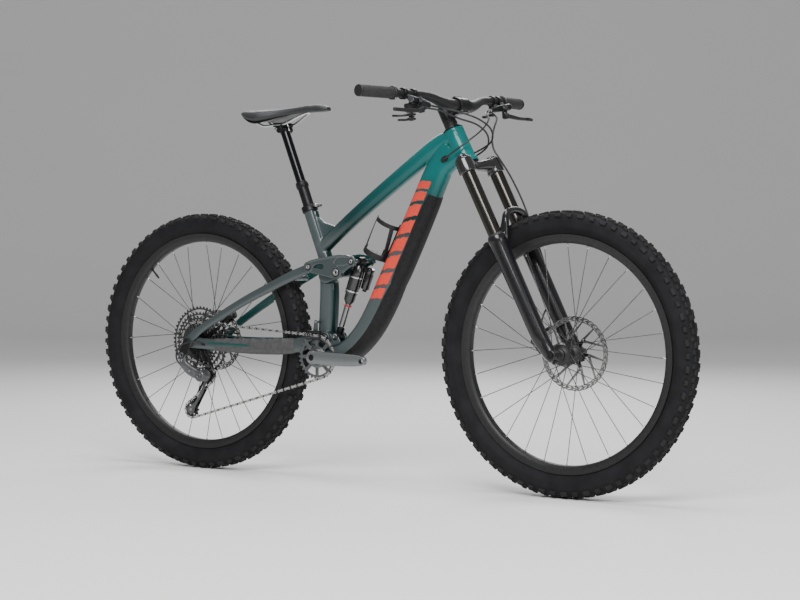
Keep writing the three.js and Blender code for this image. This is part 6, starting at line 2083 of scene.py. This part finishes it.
def hoses():
    """The brake hoses and the control cables, each bent between the bodies at its two ends."""
    right, left = master_end(-1), master_end(1)
    shift = bar_point(-198) + V(14.3, 45, -34)
    drop = bar_point(202) + V(10.3, -27.5, -24)
    rear = [right, V(right.x + 8, -120, right.z - 4), V(322, -70, 1022), V(352, -20, 1004), V(362, 25, 978),
            V(345, 55, 948), V(300, 58, 922), V(258, 42, 905), V(238, 30, 896)]
    gear = [shift, V(shift.x + 22, -122, shift.z - 6), V(318, -70, 1006), V(345, -20, 990), V(352, 22, 964),
            V(336, 48, 934), V(294, 50, 906), V(250, 40, 886), V(228, 30, 876)]
    post = [drop, V(drop.x + 5, 150, drop.z - 10), V(drop.x + 22, 122, drop.z - 16), V(318, 85, 1012),
            V(334, 35, 986), V(330, -14, 958), V(306, -40, 932), V(280, -44, 914), V(260, -37, 904),
            V(246, -29, 899)]
    front = [left, V(left.x + 16, 130, left.z - 5), V(334, 100, 1012), V(338, 78, 981), V(338, 70, 950),
             V(345, 68, 925), V(360, 69, 903), V(380, 80, 868), V(397, 94, 828), V(418, 102, 780),
             V(450, 104, 700), V(482, 103, 620), V(500, 100, 550),
             V(503, 88, 505), V(500, 70, 478), V(500, 60, 460)]
    for name, route, replaced in (
        ("rear_hose_run", rear, "rear_brake_hose"),
        ("gear_cable_run", gear, "shift_cable"),
        ("post_cable_run", post, "dropper_cable"),
    ):
        obj = piece(name, None, [(hose_tube(route), HOSE)], [replaced], angle=60)
        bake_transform(obj)
    obj = piece("front_hose_run", None, [(hose_tube(front), HOSE)], ["front_brake_hose"], angle=60)
    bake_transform(obj)


def hose_tube(route):
    """A centripetal curve through the route, so that it doesn't overshoot at its short ends."""
    times = [0.0]
    for p, q in zip(route, route[1:]):
        times.append(times[-1] + math.sqrt((q - p).length))
    points = []
    last, per_span = len(route) - 1, 10
    for i in range(last):
        p1, p2 = route[i], route[i + 1]
        p0 = route[i - 1] if i else p1 * 2 - p2
        p3 = route[i + 2] if i + 2 <= last else p2 * 2 - p1
        t1, t2 = times[i], times[i + 1]
        t0 = times[i - 1] if i else t1 - (t2 - t1)
        t3 = times[i + 2] if i + 2 <= last else t2 + (t2 - t1)
        for k in range(per_span):
            t = t1 + (t2 - t1) * k / per_span
            a1 = p0 * ((t1 - t) / (t1 - t0)) + p1 * ((t - t0) / (t1 - t0))
            a2 = p1 * ((t2 - t) / (t2 - t1)) + p2 * ((t - t1) / (t2 - t1))
            a3 = p2 * ((t3 - t) / (t3 - t2)) + p3 * ((t - t2) / (t3 - t2))
            b1 = a1 * ((t2 - t) / (t2 - t0)) + a2 * ((t - t0) / (t2 - t0))
            b2 = a2 * ((t3 - t) / (t3 - t1)) + a3 * ((t - t1) / (t3 - t1))
            points.append(b1 * ((t2 - t) / (t2 - t1)) + b2 * ((t - t1) / (t2 - t1)))
    points.append(route[-1])
    rings = []
    side = (points[1] - points[0]).orthogonal().normalized()
    for p, way in zip(points, along_path(points)):
        side = (side - way * side.dot(way)).normalized()
        rings.append(ring_points(p, side, way.cross(side), HOSE_R, HOSE_R, 16))
    return loft(rings)


hoses()


# ------------------------------------------------------------------ seat

CRADLE = T(0, 0, 253)
# From the saddle's tail to its nose: (x, half width, lowest z, highest z).
SADDLE_SECTIONS = [
    (-454.5, 21.5, 1034.5, 1046.5),
    (-440, 44.5, 1028.5, 1048.5),
    (-418, 58.5, 1016.5, 1049.5),
    (-394, 66.5, 1006.5, 1049.5),
    (-372, 66.5, 1003.5, 1050.5),
    (-350, 58.5, 1008.5, 1050.5),
    (-312, 39.5, 1019.5, 1052.5),
    (-267, 25.5, 1028.5, 1056.5),
    (-220, 19.5, 1033.5, 1060.5),
    (-182, 16.5, 1034.5, 1059.5),
    (-160.5, 10.5, 1039.5, 1053.5),
]


def seat_clamp():
    ring = ring_profile([
        (19.9, -15), (22, -15), (22.8, -14), (22.8, 1.6), (21.8, 2.9), (16.2, 2.9), (16.2, 0.6), (19.9, 0.6),
    ])
    parts = [(lathe(ring, T(0, 0, 0), T_UP, 56), BLACK)]
    parts.append((place(block(V(27, 0, -6.5), (13, 15.6, 11), 2), SEAT), BLACK))
    parts.append((rod(T(30, -15.8, -6.5), T(30, 8, -6.5), 4.3, sides=32, edge=0.8), BOLT))
    parts.append((rod(T(30, 8, -6.5), T(30, 15.8, -6.5), 4.3, sides=6, edge=0.8), BLACK))
    piece("post_clamp", "frame", parts, ["seat_clamp"])


def dropper():
    """The post's sleeve, its slider with the head, and the clamps that hold the saddle's rails."""
    outer = ring_profile([
        (13.9, -170), (15.7, -170), (15.7, 58), (17.4, 58.4), (18.4, 60), (18.4, 66), (17.9, 66.4),
        (17.9, 67), (18.3, 67.6), (17.4, 74), (16.6, 75.8), (13.9, 75.8),
    ])
    piece("post_sleeve", "frame", [(lathe(outer, T(0, 0, 0), T_UP, 56), BLACK)], ["dropper_outer"])
    inner = [(0.5, 24), (13.4, 24), (13.4, 229), (14.9, 230), (15.6, 238), (0.5, 238)]
    parts = [(lathe(inner, T(0, 0, 0), T_UP, 56), POST_SHINE)]
    piece("post_slider", "seatpost_upper", parts, ["dropper_inner"])
    shapes = [
        rod(T(0, -28.6, 238), T(0, 28.6, 238), 10.2, sides=36, edge=1.5),
        rod(T(0, 0, 230), T(0, 0, 240), 15.4, 13, 36, 1),
        place(block(V(0, 0, 246), (30, 56, 6), 2), SEAT),
    ]
    casting("post_head", "seatpost_upper", shapes, BLACK, voxel=0.9)
    clamps = []
    for side in SIDES:
        top = block(V(CRADLE.x, side * 22, CRADLE.z + 3.4), (34, 11, 4.4), 1.6)
        low = block(V(CRADLE.x, side * 22, CRADLE.z - 4.6), (34, 11, 4), 1.4)
        clamps += [(top, BLACK), (low, BLACK)]
    cross_bolt = V(CRADLE.x - 3, 0, CRADLE.z - 12)
    clamps.append((pin(cross_bolt, -31, 31, 3, 24), BOLT))
    for x in (-15, 15):
        clamps.append((rod(T(x, 0, 228), T(x, 0, 257), 2.4, sides=16), BOLT))
    piece("rail_clamps", "seatpost_upper", clamps)


def saddle_rails():
    z = CRADLE.z
    half = [V(-402, 29, z + 14), V(-387, 28, z + 3), V(-370, 25, z - 3), V(-345, 22, z - 1.5),
            V(-305, 22, z + 1), V(-284, 21, z + 8), V(-260, 16, z + 20),
            V(-238, 8, z + 30), V(-228, 0, z + 33)]
    full = half + [V(p.x, -p.y, p.z) for p in reversed(half[:-1])]
    parts = [(tube(full, 3.4, 20, 160), RAIL)]
    piece("rails_loop", "seatpost_upper", parts, ["saddle_rails"])


def saddle():
    """A padded skin whose skirt hangs round a plastic base, open underneath."""
    steps, count = 96, 56
    channel_width, channel_depth = 9, 3.2
    seam_at, seam_width, seam_depth = 0.66, 1.3, 0.7
    sections = catmull(SADDLE_SECTIONS, steps)
    rings, under = [], []
    for i, (x, half, low, high) in enumerate(sections):
        t = i / steps
        ring = []
        middle = (low + high) / 2
        tall = (high - low) / 2
        for k in range(count):
            a = TAU * (k + 0.5) / count
            y = half * power(math.cos(a), 0.72)
            up = math.sin(a)
            if up > 0:
                # A shallow pressure channel along the middle, and a seam round the cover.
                along = max(0, math.sin(math.pi * min(1, max(0, (t - 0.12) / 0.66))))
                z = middle + tall * up - math.exp(-((y / channel_width) ** 2)) * channel_depth * along
                z -= math.exp(-((abs(y) - half * seam_at) / seam_width) ** 2) * seam_depth
            else:
                # The skirt's rim is low at the sides; the middle of the underside is drawn up.
                rim = 0.35 + 0.65 * (abs(y) / half) ** 3
                z = middle + tall * up * min(1, rim + 0.1)
            ring.append(V(x, y, z))
        rings.append(ring)
    obj = piece("saddle_pad", "seatpost_upper", [(loft(rings), SADDLE)], ["saddle"], angle=60)
    for x, half, low, high in sections[6:90]:
        ring = []
        for k in range(24):
            a = TAU * k / 24
            y = (half - 5) * power(math.cos(a), 0.7)
            arch = (high - low) * 0.30 * (1 - (abs(y) / half) ** 3)
            ring.append(V(x, y, low + 3 + arch + 2 * math.sin(a)))
        under.append(ring)
    piece("saddle_shell", "seatpost_upper", [(loft(under), PLASTIC)], angle=50)


RAIL = brushed("rail_steel", (0.50, 0.51, 0.52), (0.72, 0.73, 0.74), (0.14, 0.24), (4, 14, 14))
POST_SHINE = brushed("post_coating", (0.016, 0.016, 0.018), (0.026, 0.026, 0.028), (0.12, 0.2),
                     (1, 1, 14), 0.9)
seat_clamp()
dropper()
saddle_rails()
saddle()


# ------------------------------------------------------------------ bottle cage


def hoop(middle, phi0, phi1, z0, z1, r, wall):
    """Part of a band round the bottle's axis; phi 0 is at the down tube."""
    rings = []
    steps = max(8, int(abs(phi1 - phi0) * 12))
    for k in range(steps + 1):
        phi = phi0 + (phi1 - phi0) * k / steps
        ring = []
        for out, z in ((0, z0), (wall, z0 + 0.6), (wall, z1 - 0.6), (0, z1)):
            reach = r + out
            ring.append(C(middle - reach * math.cos(phi), reach * math.sin(phi), z))
        rings.append(ring)
    return loft(rings)


def bottle_cage():
    """A side-entry cage: a hook above, a cup below, and one slim arm between them."""
    wall, bottle_r = 2.4, 36.8
    middle = 4 + bottle_r
    shapes = [
        place(block(V(3, 0, 39), (3.6, 20, 120), 1.5), CAGE),
        hoop(middle, -2.75, 0.55, -13, 0, bottle_r, wall),
        hoop(middle, -math.pi, 1.75, 80, 96, bottle_r, wall),
    ]
    cup = [(0.5, 95), (bottle_r, 95), (bottle_r + 1, 97), (bottle_r - 2, 98.6), (0.5, 98.6)]
    shapes.append(lathe(cup, C(middle, 0, 0), C_Z, 64))
    for phi0, phi1, wide in ((-2.62, -2.2, 5), (-0.75, -0.35, 6.5)):
        curve = []
        for k in range(13):
            t = k / 12
            phi = phi0 + (phi1 - phi0) * t
            reach = bottle_r + wall / 2
            curve.append(C(middle - reach * math.cos(phi), reach * math.sin(phi), -6 + 92 * t))
        shapes.append(strap(curve, C(middle, 0, 0), wide, wall))
    casting("cage_body", "frame", shapes, PLASTIC, ["bottle_cage"], 1.0, 2, 0.6)
    bolts = [small_bolt(C(4.6, 0, z), C_X, 4, 2.4) for z in (8, 66)]
    piece("cage_bolts", "frame", bolts)


def strap(points, centre, half_wide, thick):
    """A flat band along a curve, its face turned outward from the bottle's axis."""
    rings = []
    for p, way in zip(points, along_path(points)):
        out = p - centre
        out = (out - C_Z * out.dot(C_Z)).normalized()
        side = way.cross(out).normalized()
        rings.append(ring_points(p, side, out, half_wide, thick * 0.5, 16, 0.6))
    return loft(rings)


bottle_cage()


# ------------------------------------------------------------------ floor, light, camera

CAMERA_YAW = 33.876
CAMERA_PITCH = 2.279
CAMERA_LENS = 93.375
CAMERA_AT = (3.2895, -4.7772, 0.741)
# The floor lies this far below the tyres, in metres.
FLOOR_GAP = 0.0005


def floor():
    """One pale sweep: floor, a curve up behind the bike, and a wall, square to the camera's view."""
    # In metres: the floor's near edge and the start of the curve, its radius, and the wall's height.
    near_y, far_y, bend_r, wall_z, half_wide = -60, 7, 4, 12, 45
    profile = [(near_y, 0), (far_y, 0)]
    for k in range(1, 25):
        a = k * math.pi / 48
        profile.append((far_y + bend_r * math.sin(a), bend_r - bend_r * math.cos(a)))
    profile.append((far_y + bend_r, wall_z))
    turn = Matrix.Rotation(math.radians(CAMERA_YAW), 3, "Z")
    points, faces = [], []
    for y, z in profile:
        for x in (-half_wide, half_wide):
            points.append(turn @ V(x, y, z - FLOOR_GAP))
    for i in range(len(profile) - 1):
        a = 2 * i
        faces.append((a, a + 1, a + 3, a + 2))
    mesh = bpy.data.meshes.new("floor")
    mesh.from_pydata(points, [], faces)
    mesh.polygons.foreach_set("use_smooth", [True] * len(faces))
    ground = add_object("floor", mesh)
    mat, tree, shader = material("pale_floor")
    shade = noise(tree, 1.2, 3.0)
    colour = ramp(tree, shade, [(0.0, (0.80, 0.80, 0.79)), (1.0, (0.83, 0.83, 0.82))])
    dress(tree, shader, Base_Color=colour, Roughness=0.85)
    ground.data.materials.append(mat)


def aim(obj, way):
    obj.rotation_euler = way.to_track_quat("-Z", "Y").to_euler()


def area_light(name, location, target, size, watts):
    data = bpy.data.lights.new(name, "AREA")
    data.shape = "RECTANGLE"
    data.size, data.size_y = size
    data.energy = watts
    obj = add_object(name, data)
    obj.location = location
    aim(obj, Vector(target) - Vector(location))


def studio():
    """A pale surround and four soft lights; the key stands on the camera's side."""
    world = bpy.data.worlds.new("studio")
    bpy.context.scene.world = world
    world.use_nodes = True
    background = world.node_tree.nodes["Background"]
    background.inputs["Color"].default_value = (0.82, 0.83, 0.84, 1)
    background.inputs["Strength"].default_value = 0.42
    area_light("key", (1.6, -3.2, 3.4), (0, 0, 0.5), (2.6, 1.6), 200)
    area_light("front", (3.6, -1.2, 1.6), (0.3, 0, 0.6), (1.4, 2.0), 40)
    area_light("back", (-1.6, 3.0, 2.6), (0, 0, 0.6), (2.4, 1.6), 70)
    area_light("top", (0, 0, 4.2), (0, 0, 0.5), (3.0, 1.6), 110)


def camera():
    data = bpy.data.cameras.new("camera")
    data.lens = CAMERA_LENS
    data.sensor_width = 36
    data.clip_start = 0.05
    data.clip_end = 60
    obj = add_object("camera", data)
    yaw, pitch = math.radians(CAMERA_YAW), math.radians(CAMERA_PITCH)
    obj.location = CAMERA_AT
    aim(obj, Vector((-math.sin(yaw) * math.cos(pitch), math.cos(yaw) * math.cos(pitch), -math.sin(pitch))))
    bpy.context.scene.camera = obj


floor()
studio()
camera()
